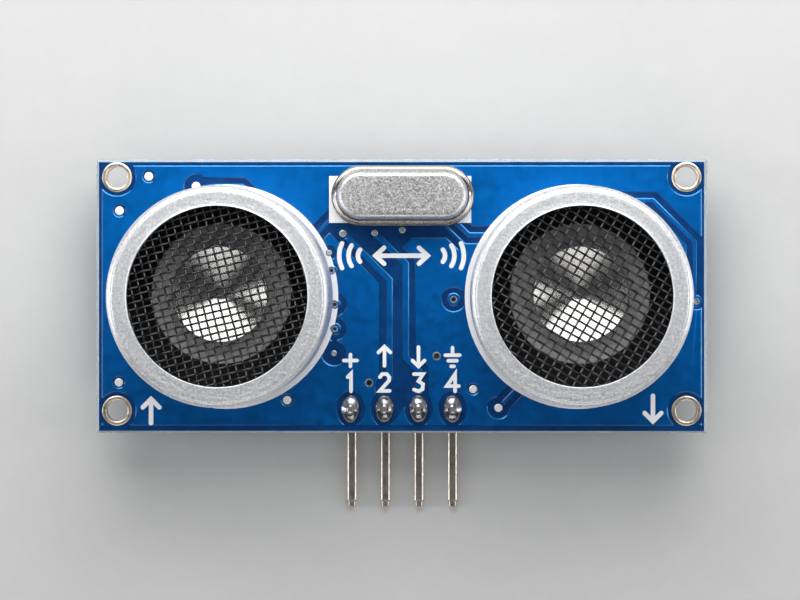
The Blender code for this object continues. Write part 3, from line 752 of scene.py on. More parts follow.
def make_laminate():
    """The fibreglass core: V-score faces above and below a web that was snapped and left rough."""
    # (height, share of the V-score's reach or plain inset, roughness)
    levels = [(CORE_TOP, 1.0, 0.0), (-0.36, 0.08, 0.05), (-0.5, 0.0, 0.16), (-0.8, 0.0, 0.2)]
    levels += [(-1.1, 0.0, 0.16), (-1.24, 0.08, 0.05), (-THICKNESS - CORE_TOP, 1.0, 0.0)]
    bm = bmesh.new()
    rings = []
    for level, (z, share, rough) in enumerate(levels):
        ring = []
        for x, y, out_x, out_y, side in border(0.11):
            seed = Vector((x * 2.6, y * 2.6, level * 3.7))
            fine = Vector((x * 8.0, y * 8.0, level * 9.1))
            ragged = rough * max(0.0, 0.25 + 0.7 * noise.noise(seed) + 0.7 * noise.noise(fine))
            inset = EDGE_STRIP[side] * share + ragged if share == 1.0 else share + ragged
            spot = (x - out_x * inset, y - out_y * inset)
            if share == 1.0:
                spot = clamp_inside(*spot, *mask_insets())
            ring.append(bm.verts.new((*spot, z)))
        rings.append(ring)
    loft(bm, rings)
    bmesh.ops.recalc_face_normals(bm, faces=bm.faces)
    cutters = [prism(hole.outline(0.0), -THICKNESS - 1, 1) for hole in drills()]
    bm = bm_of(joined(mesh_of(bm), cutters, "DIFFERENCE"))
    piece("board_laminate", bm, "fibreglass", "solder_mask", replaces=["circuit_board"], smooth_angle=0)


def rectangle(inset_x, inset_y):
    left, right = -HALF_LENGTH + inset_x[0], HALF_LENGTH - inset_x[1]
    bottom, top = -HALF_WIDTH + inset_y[0], HALF_WIDTH - inset_y[1]
    return Patch([(left, bottom), (right, bottom), (right, top), (left, top)])


def make_masks():
    """The solder mask where it lies straight on the laminate, front and back."""
    base = rectangle(*mask_insets(0.015))
    layer = Layer(("add", [base]), ("cut", drills()))
    for side, on_back in (("front", False), ("back", True)):
        bm = layer.solid(CORE_TOP + 0.001, MASK_TOP)
        piece("board_mask_" + side, bm, "mask_laminate", "solder_mask", on_back=on_back, smooth_angle=0)


def make_copper(side, moats, wires, openings):
    """One side's copper under its mask: a pour, moats cut in it, wires laid in them, and openings."""
    pour = rectangle(*POUR_INSETS)
    layer = Layer(("add", [pour]), ("cut", moats), ("add", wires), ("cut", openings))
    bm = layer.solid(SUNK, COPPER_TOP, SLOPE_WIDTH, SLOPE_DROP)
    # Looks: the mask over copper, then its sloping edges with a painted highlight and with painted shade
    looks = ["mask_copper", "painted_highlight_slope", "painted_shade_slope"]
    piece("board_copper_" + side, bm, looks, "solder_mask", on_back=side == "back", smooth_angle=20)


def make_front_copper():
    moats = [Patch(BARE_PATCH)]
    moats += [Track(route, width + 2 * TRACE_GAP) for width, route in FRONT_ROUTES]
    moats += [Disc(x, y, CLEAR_R, 48) for x, y in MOUNT_HOLES]
    moats += [Disc(x, y, SOLDER_R + 0.22, 40, MOAT_STRETCH) for x, y in PINS]
    moats += [Disc(x, y, clear, 36) for x, y, _, _, clear in FRONT_VIAS if clear]
    wires = [Track(route, width) for width, route in FRONT_ROUTES]
    wires += [Disc(x, y, pad + 0.2) for x, y, _, pad, clear in FRONT_VIAS if clear]
    openings = [Disc(x, y, hole + 0.02 if hole else pad + 0.1) for x, y, hole, pad, _ in FRONT_VIAS]
    openings += [Disc(x, y, SOLDER_R + 0.04, 40, MOAT_STRETCH) for x, y in PINS]
    make_copper("front", moats, wires, openings)


def make_vias():
    """Thin tinned rings round the small holes, and flat tinned dots in the mask's openings."""
    rings, dots, plugs = bmesh.new(), bmesh.new(), bmesh.new()
    for x, y, hole, pad, _ in FRONT_VIAS:
        if hole:
            edge, top = hole + 0.11, COPPER_TOP + 0.012
            profile = [(hole, MID_BOARD), (hole, top - 0.03), (hole + 0.03, top), (edge - 0.02, top)]
            profile += [(edge, top - 0.02), (edge, SUNK), (hole + 0.02, SUNK), (hole + 0.02, MID_BOARD)]
            add_turned(rings, profile, 24, (x, y))
        else:
            top = COPPER_TOP - 0.012
            profile = [(0, SUNK), (pad, SUNK), (pad, top - 0.035), (pad - 0.03, top - 0.008)]
            profile += [(pad - 0.08, top), (0.1, top - 0.004), (0.05, top - 0.014), (0, top - 0.018)]
            add_turned(plugs if pad < PLUG_R else dots, profile, 28, (x, y), closed=False)
    piece("board_via_rings", rings, "via", "tin")
    piece("board_via_plugs", plugs, "via", "tin")
    piece("board_tinned_dots", dots, "tin", "tin")


def make_plated_holes():
    """The tinned lining of each mounting hole, with rolled flanges."""
    for name, (x, y) in zip(HOLE_NAMES, MOUNT_HOLES):
        _, _, low, high = on_board(name)
        profile = []
        for face, level, inward in ((high.z, 0.0, -1), (low.z, -THICKNESS, 1)):
            flange = [(LINING_R, face + 0.09 * inward), (LINING_R + 0.015, face + 0.03 * inward)]
            flange += [(LINING_R + 0.06, face), (PAD_R - 0.07, face + 0.005 * inward)]
            flange += [(PAD_R - 0.015, face + 0.03 * inward), (PAD_R, level), (MOUNT_DRILL_R, level)]
            profile += flange if inward < 0 else flange[::-1]
        bm = bmesh.new()
        add_turned(bm, profile, 56, (x, y))
        piece("lining_" + name, bm, "ring", "tin", replaces=[name])


# ---------------------------------------------------------------- printing


RING_INNER_R, RING_OUTER_R = 7.7, 8.38  # printed round each can
NUMBER_Y, SIGN_Y = -7.12, -5.3
# Plain stroke digits, each in a box one wide and two high, as lists of lines
DIGITS = {
    1: [[(0.25, 1.6), (0.55, 2.0), (0.55, 0.0)]],
    2: [[(0.1, 1.6), (0.3, 1.95), (0.7, 1.95), (0.92, 1.6), (0.9, 1.2), (0.1, 0.05), (0.95, 0.05)]],
    3: [[(0.1, 1.95), (0.9, 1.95), (0.5, 1.15), (0.9, 0.8), (0.85, 0.25), (0.5, 0.0), (0.1, 0.2)]],
    4: [[(0.72, 0.0), (0.72, 1.95), (0.0, 0.6), (0.5, 0.6)], [(0.5, 0.6), (1.05, 0.6)]],
}


def pin_marks():
    """For each pin, its number and a sign: supply plus, inward arrow, outward arrow, ground bars."""
    signs = [
        [[(-0.55, 0.6), (0.55, 0.6)], [(0, 0.05), (0, 1.15)]],
        [[(0, 0.1), (0, 1.9)], [(-0.5, 1.35), (0, 1.9), (0.5, 1.35)]],
        [[(0, 0.05), (0, 1.85)], [(-0.5, 0.6), (0, 0.05), (0.5, 0.6)]],
        [[(0, 1.8), (0, 1.1)], [(-0.6, 1.1), (0.6, 1.1)]]
        + [[(-0.36, 0.58), (0.36, 0.58)], [(-0.12, 0.06), (0.12, 0.06)]],
    ]
    lines = []
    for i, ((x, _), sign) in enumerate(zip(PINS, signs)):
        for line in DIGITS[i + 1]:
            lines.append([(x + (a - 0.5) * 0.85, NUMBER_Y + b * 0.66) for a, b in line])
        for line in sign:
            lines.append([(x + a * 0.9, SIGN_Y + b * 0.8) for a, b in line])
    return lines


def wave_mark():
    """A plain sign between the transducers: sound waves at each end of a double-headed distance arrow."""
    y = 3.0
    lines = [[(-1.9, y), (1.9, y)]]
    for side in (-1, 1):
        lines.append([(side * 1.3, y - 0.6), (side * 1.95, y), (side * 1.3, y + 0.6)])
        facing = 0 if side > 0 else 180
        for radius, spread in ((0.7, 40), (1.4, 33), (2.1, 26)):
            lines.append(arc(side * 2.55, y, radius, facing - spread, facing + spread))
    return lines


def corner_marks():
    """An arrow away from the board beside the transmitter, and one towards it beside the receiver."""
    lines = []
    for x, tip, tail in ((-18.7, -7.7, -9.5), (18.75, -9.35, -7.45)):
        head = 0.62 if tip > tail else -0.62
        lines.append([(x, tail), (x, tip)])
        lines.append([(x - 0.62, tip - head), (x, tip), (x + 0.62, tip - head)])
    return lines


def make_silkscreen():
    """White printing on the front: rings round the cans, the crystal's patch and plain signs."""
    cans = [on_board(unit + "_can")[:2] for unit in UNITS]
    discs = [Disc(x, y, RING_OUTER_R, 72) for x, y in cans]
    middles = [Disc(x, y, RING_INNER_R, 72) for x, y in cans]
    x, y, _, _ = on_board("crystal_base")
    marks = [box_patch(x - 0.2, y - 0.27, 10.6, 3.5)]
    marks += [Track(line, 0.27) for line in pin_marks()]
    marks += [Track(line, 0.34) for line in wave_mark() + corner_marks()]
    holes = [Disc(x, y, pad + 0.04, 20) for x, y, _, pad, _ in FRONT_VIAS]
    layer = Layer(("add", discs), ("cut", middles), ("add", marks), ("cut", holes))
    bm = layer.solid(MASK_TOP, INK_TOP)
    piece("silkscreen_front", bm, "silkscreen", "solder_mask", smooth_angle=0)


# ---------------------------------------------------------------- transducers

# Each screen's two families of wires: (angle in degrees, pitch in millimetres)
WEAVES = {
    "transmitter": ((13.6, 0.506), (104.8, 0.586)),
    "receiver": ((-29.8, 0.544), (60.0, 0.655)),
}
WIRE_R = 0.075
SCREEN_R = 7.35
OPENING_R = 6.5
HORN_WALL = 0.28
THROAT_R = 0.45
FOOT_R = 1.0


def make_can(unit):
    x, y, low, high = on_board(unit + "_can")
    top, bottom, outer = high.z, low.z, (high.x - low.x) / 2
    corner = (outer - 0.56, top - 0.59)
    lip = [(OPENING_R + 0.03, top - 0.5), (OPENING_R, top - 0.44), (OPENING_R, top - 0.06)]
    lip += [(OPENING_R + 0.012, top - 0.02), (OPENING_R + 0.05, top), (OPENING_R + 0.1, top - 0.028)]
    lip += [(OPENING_R + 0.16, top - 0.034), (outer - 0.8, top - 0.03)]
    shoulder = arc(*corner, 0.56, 89, 74, 3) + arc(*corner, 0.538, 71.5, 69.5, 1)
    shoulder += arc(*corner, 0.56, 67, 4, 9)
    side = [(outer - 0.004, top - 0.8), (outer - 0.03, top - 0.95), (outer - 0.02, top - 1.4)]
    side += [(outer, top - 3.0), (outer, bottom + 1.2), (outer - 0.02, bottom + 0.3)]
    foot = [(outer - 0.08, bottom + 0.06), (outer - 0.2, bottom), (outer - 0.55, bottom)]
    inside = [(outer - 0.6, bottom + 0.3), (outer - 0.43, bottom + 0.6)]
    inside += [(outer - 0.43, top - 0.62), (outer - 0.5, top - 0.5)]
    bm = bmesh.new()
    add_turned(bm, lip + shoulder + side + foot + inside, 160, (x, y))
    bm.normal_update()
    for face in bm.faces:
        if abs(face.normal.z) < 0.4:
            face.material_index = 1
    piece(unit + "_can_shell", bm, ["rim", "wall"], "aluminium", replaces=[unit + "_can"], smooth_angle=55)


def make_screen(unit):
    """A plain weave of round wires, each going over and under the ones it crosses."""
    x, y, low, high = on_board(unit + "_screen")
    middle = (low.z + high.z) / 2
    families = []
    for angle, pitch in WEAVES[unit]:
        along = Vector((cos(radians(angle)), sin(radians(angle))))
        families.append((along, Vector((-along.y, along.x)), pitch))
    runs = []
    for own, other, sign in ((*families, 1), (*families[::-1], -1)):
        along, across, pitch = own
        _, other_across, other_pitch = other
        count = int(SCREEN_R / pitch)
        for i in range(-count, count + 1):
            wander = 0.05 * pitch * noise.noise(Vector((i * 1.7, 3.1 * sign, len(unit))))
            offset = across * (i * pitch + wander)
            reach = (SCREEN_R**2 - offset.length**2) ** 0.5
            samples = max(2, int(2 * reach / (other_pitch / 4)))
            run = []
            for k in range(samples + 1):
                spot = offset + along * (-reach + 2 * reach * k / samples)
                sway = 0.03 * noise.noise(Vector((spot.x * 0.5, spot.y * 0.5, 7.0 * sign)))
                crossing = spot.dot(other_across) / other_pitch
                height = sign * WIRE_R * 1.02 * cos(pi * (crossing + i))
                spot = spot + across * sway
                run.append((x + spot.x, y + spot.y, middle + height))
            runs.append(run)
    bm = bmesh.new()
    add_wires(bm, runs, WIRE_R)
    piece(unit + "_woven_screen", bm, "wire", "black_mesh", replaces=[unit + "_screen"], smooth_angle=60)


def make_plate(unit):
    x, y, low, high = on_board(unit + "_vibrating_plate")
    radius = (high.x - low.x) / 2
    bm = bmesh.new()
    edge = arc(radius - 0.06, high.z - 0.06, 0.06, 90, 0, 3)
    add_turned(bm, [(0, high.z), *edge, (radius, low.z), (0, low.z)], 96, (x, y), closed=False)
    piece(unit + "_plate_disc", bm, "plate", "grey_metal", replaces=[unit + "_vibrating_plate"])


def make_horn(unit):
    """A turned cone, its inner wall hollowed a little from throat to rim."""
    x, y, low, high = on_board(unit + "_horn")
    rim, floor = (high.x - low.x) / 2, low.z + 0.3
    wide, deep = rim - HORN_WALL * 0.55 - THROAT_R, high.z - floor - 0.03
    profile = [(0, floor - 0.02), (THROAT_R * 0.7, floor - 0.02)]
    for i in range(17):
        share = i / 16
        profile.append((THROAT_R + wide * share, floor + deep * share - 0.035 * sin(pi * share)))
    profile += [(rim - 0.09, high.z), (rim - 0.03, high.z), (rim, high.z - 0.05)]
    profile += [(FOOT_R, low.z + 0.14), (FOOT_R, low.z), (0, low.z)]
    bm = bmesh.new()
    add_turned(bm, profile, 120, (x, y), closed=False)
    piece(unit + "_horn_cone", bm, "horn", "aluminium", replaces=[unit + "_horn"], smooth_angle=50)


# ---------------------------------------------------------------- crystal


CRYSTAL_STEPS = 64


def oblong(profile, pull, centre):
    """A turned profile with its halves pulled apart along x, which gives straight sides and round ends."""
    bm = bmesh.new()
    add_turned(bm, profile, CRYSTAL_STEPS, closed=False)
    bm.transform(Matrix.Rotation(pi / CRYSTAL_STEPS, 4, "Z"))
    for vertex in bm.verts:
        if abs(vertex.co.x) > 1e-5:
            vertex.co.x += pull if vertex.co.x > 0 else -pull
    bm.transform(Matrix.Translation((*centre, 0)))
    return bm


def make_crystal():
    """A drawn can with a rolled flange, on a base plate."""
    x, y, base_low, _ = on_board("crystal_base")
    _, _, low, high = on_board("crystal_can")
    edge, top, rim, bottom = (high.y - low.y) / 2, high.z, low.z, base_low.z
    pull = (high.x - low.x) / 2 - edge
    can_r = edge - 0.46
    can = [(0, top), (can_r - 0.55, top), *arc(can_r - 0.44, top - 0.44, 0.44, 90, 5, 9)]
    can += [(can_r, rim + 0.5), (can_r + 0.02, rim + 0.4)]
    neck = [(0.008, 0.16), (0.035, 0.13), (0.06, 0.2), (0.08, 0.35)]
    neck += [(0.11, 0.375), (0.14, 0.36), (0.18, 0.31), (0.21, 0.295)]
    lip = [(0.19, 0.29), (0.17, 0.25), (0.15, 0.14), (0.12, 0.13), (0.09, 0.17), (0.045, 0.175)]
    lip += [(0.015, 0.13), (0, 0.08), (0, 0)]
    flange = [(can_r + out, rim + up) for out, up in neck]
    flange += [(edge - inward, rim + up) for inward, up in lip]
    bm = oblong(can + flange + [(0, rim)], pull, (x, y))
    for face in bm.faces:
        if face.calc_center_median().z < rim + 0.42:
            face.material_index = 1
    piece("crystal_cover", bm, ["crystal", "flange"], "nickel", replaces=["crystal_can"], smooth_angle=35)

    plate = [(0, rim - 0.03), (edge - 0.05, rim - 0.03), (edge, rim - 0.1)]
    plate += [(edge, bottom + 0.08), (edge - 0.08, bottom), (0, bottom)]
    bm = oblong(plate, pull, (x, y))
    piece("crystal_base_plate", bm, "flange", "nickel", replaces=["crystal_base"], smooth_angle=35)


# ---------------------------------------------------------------- header


PIN_HALF = 0.32
HEADER_CHAMFER = 0.4
PIN_HOLE_HALF = 0.35
PIN_BEND_R = 0.75


def pin_section(half):
    """A square pin's section with its corners rolled off, widest across the flats: (sideways, upward)."""
    wide, tall = 0.28 * half, 0.21 * half
    corner = [(half - wide, half), (half, half - tall)]
    lower = [(x, -z) for x, z in reversed(corner)]
    right = corner + lower
    return right + [(-x, z) for x, z in reversed(right)]


def add_bar(bm, x, route):
    """A square bar through (y, z, share of full width) points at one x."""
    rings = []
    for i, (y, z, share) in enumerate(route):
        ahead, behind = route[min(i + 1, len(route) - 1)], route[max(i - 1, 0)]
        angle = atan2(ahead[1] - behind[1], ahead[0] - behind[0])
        side = Vector((0, -sin(angle), cos(angle)))
        section = pin_section(PIN_HALF * share)
        rings.append([bm.verts.new(Vector((x + dx, y, z)) + side * dn) for dx, dn in section])
    loft(bm, rings)


def make_header_strip():
    """The plastic strip, notched between the pins, with a square hole for each."""
    _, y, low, high = on_board("header_strip")
    half = (high.y - low.y) / 2
    reach = (high.x - low.x) / len(PINS) / 2
    outline = []
    for x, _ in PINS:
        outline += [(x - reach, y - half + HEADER_CHAMFER), (x - reach + HEADER_CHAMFER, y - half)]
        outline += [(x + reach - HEADER_CHAMFER, y - half)]
    outline.append((PINS[-1][0] + reach, y - half + HEADER_CHAMFER))
    outline += [(ox, 2 * y - oy) for ox, oy in reversed(outline)]
    squares = [box_corners(px, py, PIN_HOLE_HALF, PIN_HOLE_HALF) for px, py in PINS]
    holes = [prism(square, low.z - 1, high.z + 1) for square in squares]
    bm = bm_of(joined(prism(outline, low.z, high.z), holes, "DIFFERENCE"))
    bm.normal_update()
    rims = [e for e in bm.edges if len(e.link_faces) == 2 and e.calc_face_angle(0) > radians(30)]
    bmesh.ops.bevel(bm, geom=rims, offset=0.06, **SOFT_EDGE)
    piece("header_block", bm, "header", "black_plastic", replaces=["header_strip"], smooth_angle=30)


def make_header_pins():
    """Square pins that go down through the board, bend and run out past its edge."""
    for signal, (x, y) in zip(SIGNALS, PINS):
        name = "header_pin_" + signal
        _, _, low, high = on_board(name)
        top, tip, axis = high.z, low.y, low.z + PIN_HALF
        route = [(y, top, 0.5), (y, top - 0.05, 0.6), (y, top - 0.5, 0.64), (y, top - 1.0, 1.0)]
        route += [(*spot, 1.0) for spot in arc(y - PIN_BEND_R, axis + PIN_BEND_R, PIN_BEND_R, 0, -90)]
        route += [(tip + 0.5, axis, 1.0), (tip + 0.4, axis, 0.8)]
        route += [(tip + 0.04, axis, 0.76), (tip, axis, 0.68)]
        bm = bmesh.new()
        add_bar(bm, x, route)
        piece(name + "_plated", bm, "pin", "nickel", replaces=[name], smooth_angle=25)


# A mound's side: shares of its rim's radius and of its height
MOUND = [(1, 0), (0.97, 0.15), (0.92, 0.28), (0.85, 0.4)]
MOUND += [(0.75, 0.51), (0.6, 0.64), (0.45, 0.75), (0.35, 0.85)]
LUMP = 0.035


def add_solder(bm, x, y, rim, height, seed, stretch_y=1.0):
    """A lumpy mound of solder standing on the board, drawn up to a point where a pin comes through."""
    part = bmesh.new()
    shape = [(rim * out, 0.02 + height * up) for out, up in MOUND]
    profile = [(0, SUNK), (rim, SUNK), *shape, (rim * 0.28, height), (0, height)]
    add_turned(part, profile, 48, stretch_y=stretch_y, closed=False)
    for vertex in part.verts:
        outward = Vector((vertex.co.x, vertex.co.y, 0))
        if vertex.co.z > 0.03 and outward.length > rim * 0.3:
            place = Vector((vertex.co.x * 1.8, vertex.co.y * 1.8, vertex.co.z + seed * 5.3))
            vertex.co += outward.normalized() * LUMP * noise.noise(place)
            vertex.co.z += 1.2 * LUMP * noise.noise(place * 1.3) * min(1.0, vertex.co.z * 4)
    part.transform(Matrix.Translation((x, y, 0)))
    bm.from_mesh(mesh_of(part))


def make_header_solder():
    for index, (signal, (x, y)) in enumerate(zip(SIGNALS, PINS)):
        name = "header_solder_" + signal
        bm = bmesh.new()
        add_solder(bm, x, y, SOLDER_R, 0.8, index + 1.0, SOLDER_STRETCH)
        piece(name + "_fillet", bm, "solder", "solder", replaces=[name], smooth_angle=60)


# ---------------------------------------------------------------- back of the board

# (width, points) of the back's routes
BACK_ROUTES = [
    (0.4, [(-13.1, 5.08), (-11.9, 5.08), (-11.46, 4.64), (-10.0, 4.64)]),
    (0.4, [(-13.1, -5.08), (-12.1, -5.08), (-11.26, -4.24), (-10.0, -4.24)]),
    (0.3, [(-4.6, 4.64), (-3.9, 4.64), (-3.0, 5.54), (-3.0, 6.84), (-2.34, 7.5)]),
    (0.3, [(-4.6, 3.37), (-3.9, 3.37), (-3.44, 2.91), (-2.7, 2.91)]),
    (0.3, [(-4.6, 0.83), (-3.9, 0.83), (-3.44, 0.37), (-2.7, 0.37)]),
    (0.3, [(-4.6, -1.71), (-3.9, -1.71), (-3.44, -2.17), (-2.7, -2.17)]),
    (0.3, [(2.7, 2.91), (3.3, 2.91), (3.7, 3.31), (3.7, 5.9), (2.54, 7.06), (2.54, 7.5)]),
    (0.3, [(2.7, 1.64), (3.4, 1.64), (3.83, 1.47), (4.6, 1.47)]),
    (0.3, [(2.7, -0.9), (3.4, -0.9), (3.57, -1.07), (4.6, -1.07)]),
    (0.3, [(2.7, -3.44), (3.4, -3.44), (3.57, -3.61), (4.6, -3.61)]),
    (0.4, [(10.0, 4.01), (11.0, 4.01), (12.07, 5.08), (13.1, 5.08)]),
    (0.4, [(10.0, -3.61), (11.2, -3.61), (12.67, -5.08), (13.1, -5.08)]),
    (0.3, [(10.0, 1.47), (10.7, 1.47), (11.02, 1.15), (11.8, 1.15)]),
    (0.3, [(10.0, -0.4), (10.9, -0.4), (11.05, -0.7), (11.8, -0.7)]),
    (0.3, [(5.6, 6.3), (5.6, 5.2), (4.6, 4.4), (4.6, 4.01)]),
    (0.3, [(-7.3, 6.3), (-7.3, 5.9), (-5.6, 5.9), (-5.6, 6.3)]),
    (0.3, [(7.3, 7.7), (7.3, 8.7), (14.2, 8.7), (17.9, 5.0), (17.9, 2.4)]),
    (0.4, [(-1.27, -8.43), (-1.27, -6.4), (-2.7, -4.97), (-2.7, -4.71)]),
    (0.4, [(1.27, -8.43), (1.27, -6.4), (2.7, -4.97), (2.7, -4.71)]),
    (0.6, [(-3.81, -8.43), (-3.81, -7.2), (-7.3, -7.2)]),
    (0.3, [(15.2, -5.45), (14.4, -5.45), (12.2, -7.65), (8.4, -7.65), (7.23, -8.35)]),
    (0.3, [(17.2, -6.4), (19.0, -6.4), (19.9, -5.5), (19.9, -1.6), (21.98, -0.40)]),
]
CHIPS = ("transmit_driver_chip", "controller_chip", "echo_amplifier_chip")
CHIP_PITCH = 1.27
CHIP_BODY_HALF = 1.95
CHIP_FOOT_X = 2.72
RESISTORS = [f"resistor_{i}" for i in range(1, 9)]
CAPACITORS = [f"capacitor_{i}" for i in range(1, 5)] + ["supply_capacitor"]
TRANSISTOR_LEADS = [(-1.0, 0.95), (-1.0, -0.95), (1.0, 0.0)]


def back_part(name):
    """A part on the back: (centre x, centre y, half its length along x, along y, its height)."""
    x, y, low, high = on_board(name)
    return x, y, (high.x - low.x) / 2, (high.y - low.y) / 2, -THICKNESS - low.z


def chip_feet(name):
    """Feet of a chip on the back: (x, y, side) of each, from its CAD box."""
    x, y, _, half_y, _ = back_part(name)
    count = round(2 * half_y / CHIP_PITCH + 0.2)
    rows = [y + (i - (count - 1) / 2) * CHIP_PITCH for i in range(count)]
    return [(x + side * CHIP_FOOT_X, row, side) for side in (-1, 1) for row in rows]


def end_pads(name):
    """The two solder pads of a chip resistor or capacitor: (x, y, wide, tall) of each."""
    x, y, half_x, half_y, _ = back_part(name)
    if half_x > half_y:
        return [(x + side * (half_x - 0.05), y, 0.85, 2 * half_y + 0.1) for side in (-1, 1)]
    return [(x, y + side * (half_y - 0.05), 2 * half_x + 0.1, 0.85) for side in (-1, 1)]


def back_pads():
    """Every soldered pad on the back as (x, y, wide, tall)."""
    pads = [(x + side * 0.2, y, 1.25, 0.62) for name in CHIPS for x, y, side in chip_feet(name)]
    for name in RESISTORS + CAPACITORS:
        pads += end_pads(name)
    x, y, _, _ = on_board("transistor")
    pads += [(x + dx * 1.15, y + dy, 0.95, 0.8) for dx, dy in TRANSISTOR_LEADS]
    return pads


def through_pads():
    """Round pads of the parts that go through the board: (x, y, radius)."""
    sizes = ((TERMINALS, 0.95), (CRYSTAL_LEADS, 0.72), (PINS, 0.85))
    return [(x, y, radius) for places, radius in sizes for x, y in places]


def make_back_copper():
    flat_pads = back_pads()
    moats = [box_patch(x, y, wide + 0.44, tall + 0.44) for x, y, wide, tall in flat_pads]
    moats += [Track(route, width + 0.6) for width, route in BACK_ROUTES]
    moats += [Disc(x, y, r + 0.3, 36) for x, y, r in through_pads()]
    moats += [Disc(x, y, CLEAR_R, 48) for x, y in MOUNT_HOLES]
    moats += [Disc(x, y, pad + 0.4, 28) for x, y, _, pad, _ in FRONT_VIAS]
    wires = [Track(route, width) for width, route in BACK_ROUTES]
    wires += [Disc(x, y, pad + 0.15) for x, y, _, pad, _ in FRONT_VIAS]
    openings = [box_patch(x, y, wide + 0.1, tall + 0.1) for x, y, wide, tall in flat_pads]
    openings += [Disc(x, y, r + 0.05, 36) for x, y, r in through_pads()]
    openings += [Disc(x, y, hole + 0.02 if hole else pad - 0.1) for x, y, hole, pad, _ in FRONT_VIAS]
    make_copper("back", moats, wires, openings)


def make_back_solder():
    """Tinned pads, and mounds of solder where leads come through the board."""
    pads = bmesh.new()
    for x, y, wide, tall in back_pads():
        low = (x - wide / 2, y - tall / 2, -0.01)
        add_box(pads, low, (x + wide / 2, y + tall / 2, COPPER_TOP - 0.01), 0.05)
    for x, y, hole, _, _ in FRONT_VIAS:
        inner, edge, top = hole or 0.06, (hole or 0.06) + 0.1, COPPER_TOP + 0.012
        profile = [(inner, MID_BOARD), (inner, top - 0.02), (inner + 0.02, top), (edge, top)]
        profile += [(edge + 0.01, SUNK), (inner + 0.02, SUNK), (inner + 0.02, MID_BOARD)]
        add_turned(pads, profile, 24, (x, y))
    piece("board_pads_back", pads, "tin", "tin", on_back=True)
    mounds = {"terminal_solder": (TERMINALS, 0.93, 1.0), "crystal_lead_solder": (CRYSTAL_LEADS, 0.7, 0.75)}
    for name, (places, rim, height) in mounds.items():
        bm = bmesh.new()
        for index, (x, y) in enumerate(places):
            add_solder(bm, x, y, rim, height, index + 9.0)
        piece(name, bm, "solder", "solder", on_back=True, smooth_angle=60)


def add_gull_lead(bm, x, y, side, rise, wide=0.42, thick=0.2):
    """A bent lead from a package's side down to its foot; side is -1 or 1, the way out along x."""
    line = [(-0.75, rise), (-0.42, rise), (-0.3, rise - 0.08), (-0.2, 0.22), (-0.06, 0.1), (0.62, 0.1)]
    upper, lower = [], []
    for i, spot in enumerate(line):
        angle = heading(line[max(i - 1, 0)], line[min(i + 1, len(line) - 1)]) + pi / 2
        upper.append(polar(spot, thick / 2, angle))
        lower.append(polar(spot, -thick / 2, angle))
    section = upper + lower[::-1]
    rows = [[bm.verts.new((x + u * side, y + way * wide / 2, z)) for u, z in section] for way in (-1, 1)]
    count = len(section)
    for i in range(count):
        j = (i + 1) % count
        bm.faces.new((rows[0][i], rows[0][j], rows[1][j], rows[1][i]))
    for i in range(len(line) - 1):
        k = count - 1 - i
        for row in rows:
            bm.faces.new((row[i], row[i + 1], row[k - 1], row[k]))


def package_body(x, y, half_x, half_y, low, high):
    """A moulded package: sides drafted from a parting line, and softened edges."""
    middle = (low + high) / 2
    levels = [(high, 0.12), (middle + 0.06, 0.0), (middle - 0.06, 0.0), (low, 0.1)]
    bm = bmesh.new()
    rings = []
    for z, inset in levels:
        corners = box_corners(x, y, half_x - inset, half_y - inset)
        rings.append([bm.verts.new((*corner, z)) for corner in corners])
    loft(bm, rings)
    sharp = [edge for edge in bm.edges if edge.calc_face_angle(0) > radians(40)]
    bmesh.ops.bevel(bm, geom=sharp, offset=0.07, **SOFT_EDGE)
    return bm


def make_chips():
    """Two rows of feet, and a body with a shallow round mark by the first foot."""
    for name in CHIPS:
        x, y, _, half_y, top = back_part(name)
        bm = package_body(x, y, CHIP_BODY_HALF, half_y, 0.14, top)
        bmesh.ops.recalc_face_normals(bm, faces=bm.faces)
        dimple = circle(x - CHIP_BODY_HALF + 0.62, y + half_y - 0.68, 0.3, 32)
        bm = bm_of(joined(mesh_of(bm), [prism(dimple, top - 0.06, top + 1)], "DIFFERENCE"))
        piece(name + "_body", bm, "chip", "black_plastic", on_back=True, replaces=[name], smooth_angle=30)
        bm = bmesh.new()
        for foot_x, foot_y, side in chip_feet(name):
            add_gull_lead(bm, foot_x - side * 0.36, foot_y, side, 0.78)
        piece(name + "_leads", bm, "lead", "tin", on_back=True, replaces=[name], smooth_angle=30)


def make_transistor():
    x, y, _, half_y, top = back_part("transistor")
    keep = {"on_back": True, "replaces": ["transistor"], "smooth_angle": 30}
    piece("transistor_body", package_body(x, y, 0.65, half_y, 0.08, top), "chip", "black_plastic", **keep)
    bm = bmesh.new()
    for side, dy in TRANSISTOR_LEADS:
        add_gull_lead(bm, x + side * 0.63, y + dy, side, 0.5, wide=0.4, thick=0.13)
    piece("transistor_leads", bm, "lead", "tin", **keep)


def shrunk(half, along, ends, sides):
    """Half lengths made smaller by `ends` along the axis `along` and by `sides` across it."""
    smaller = half.copy()
    smaller[along] -= ends
    smaller[1 - along] -= sides
    return smaller


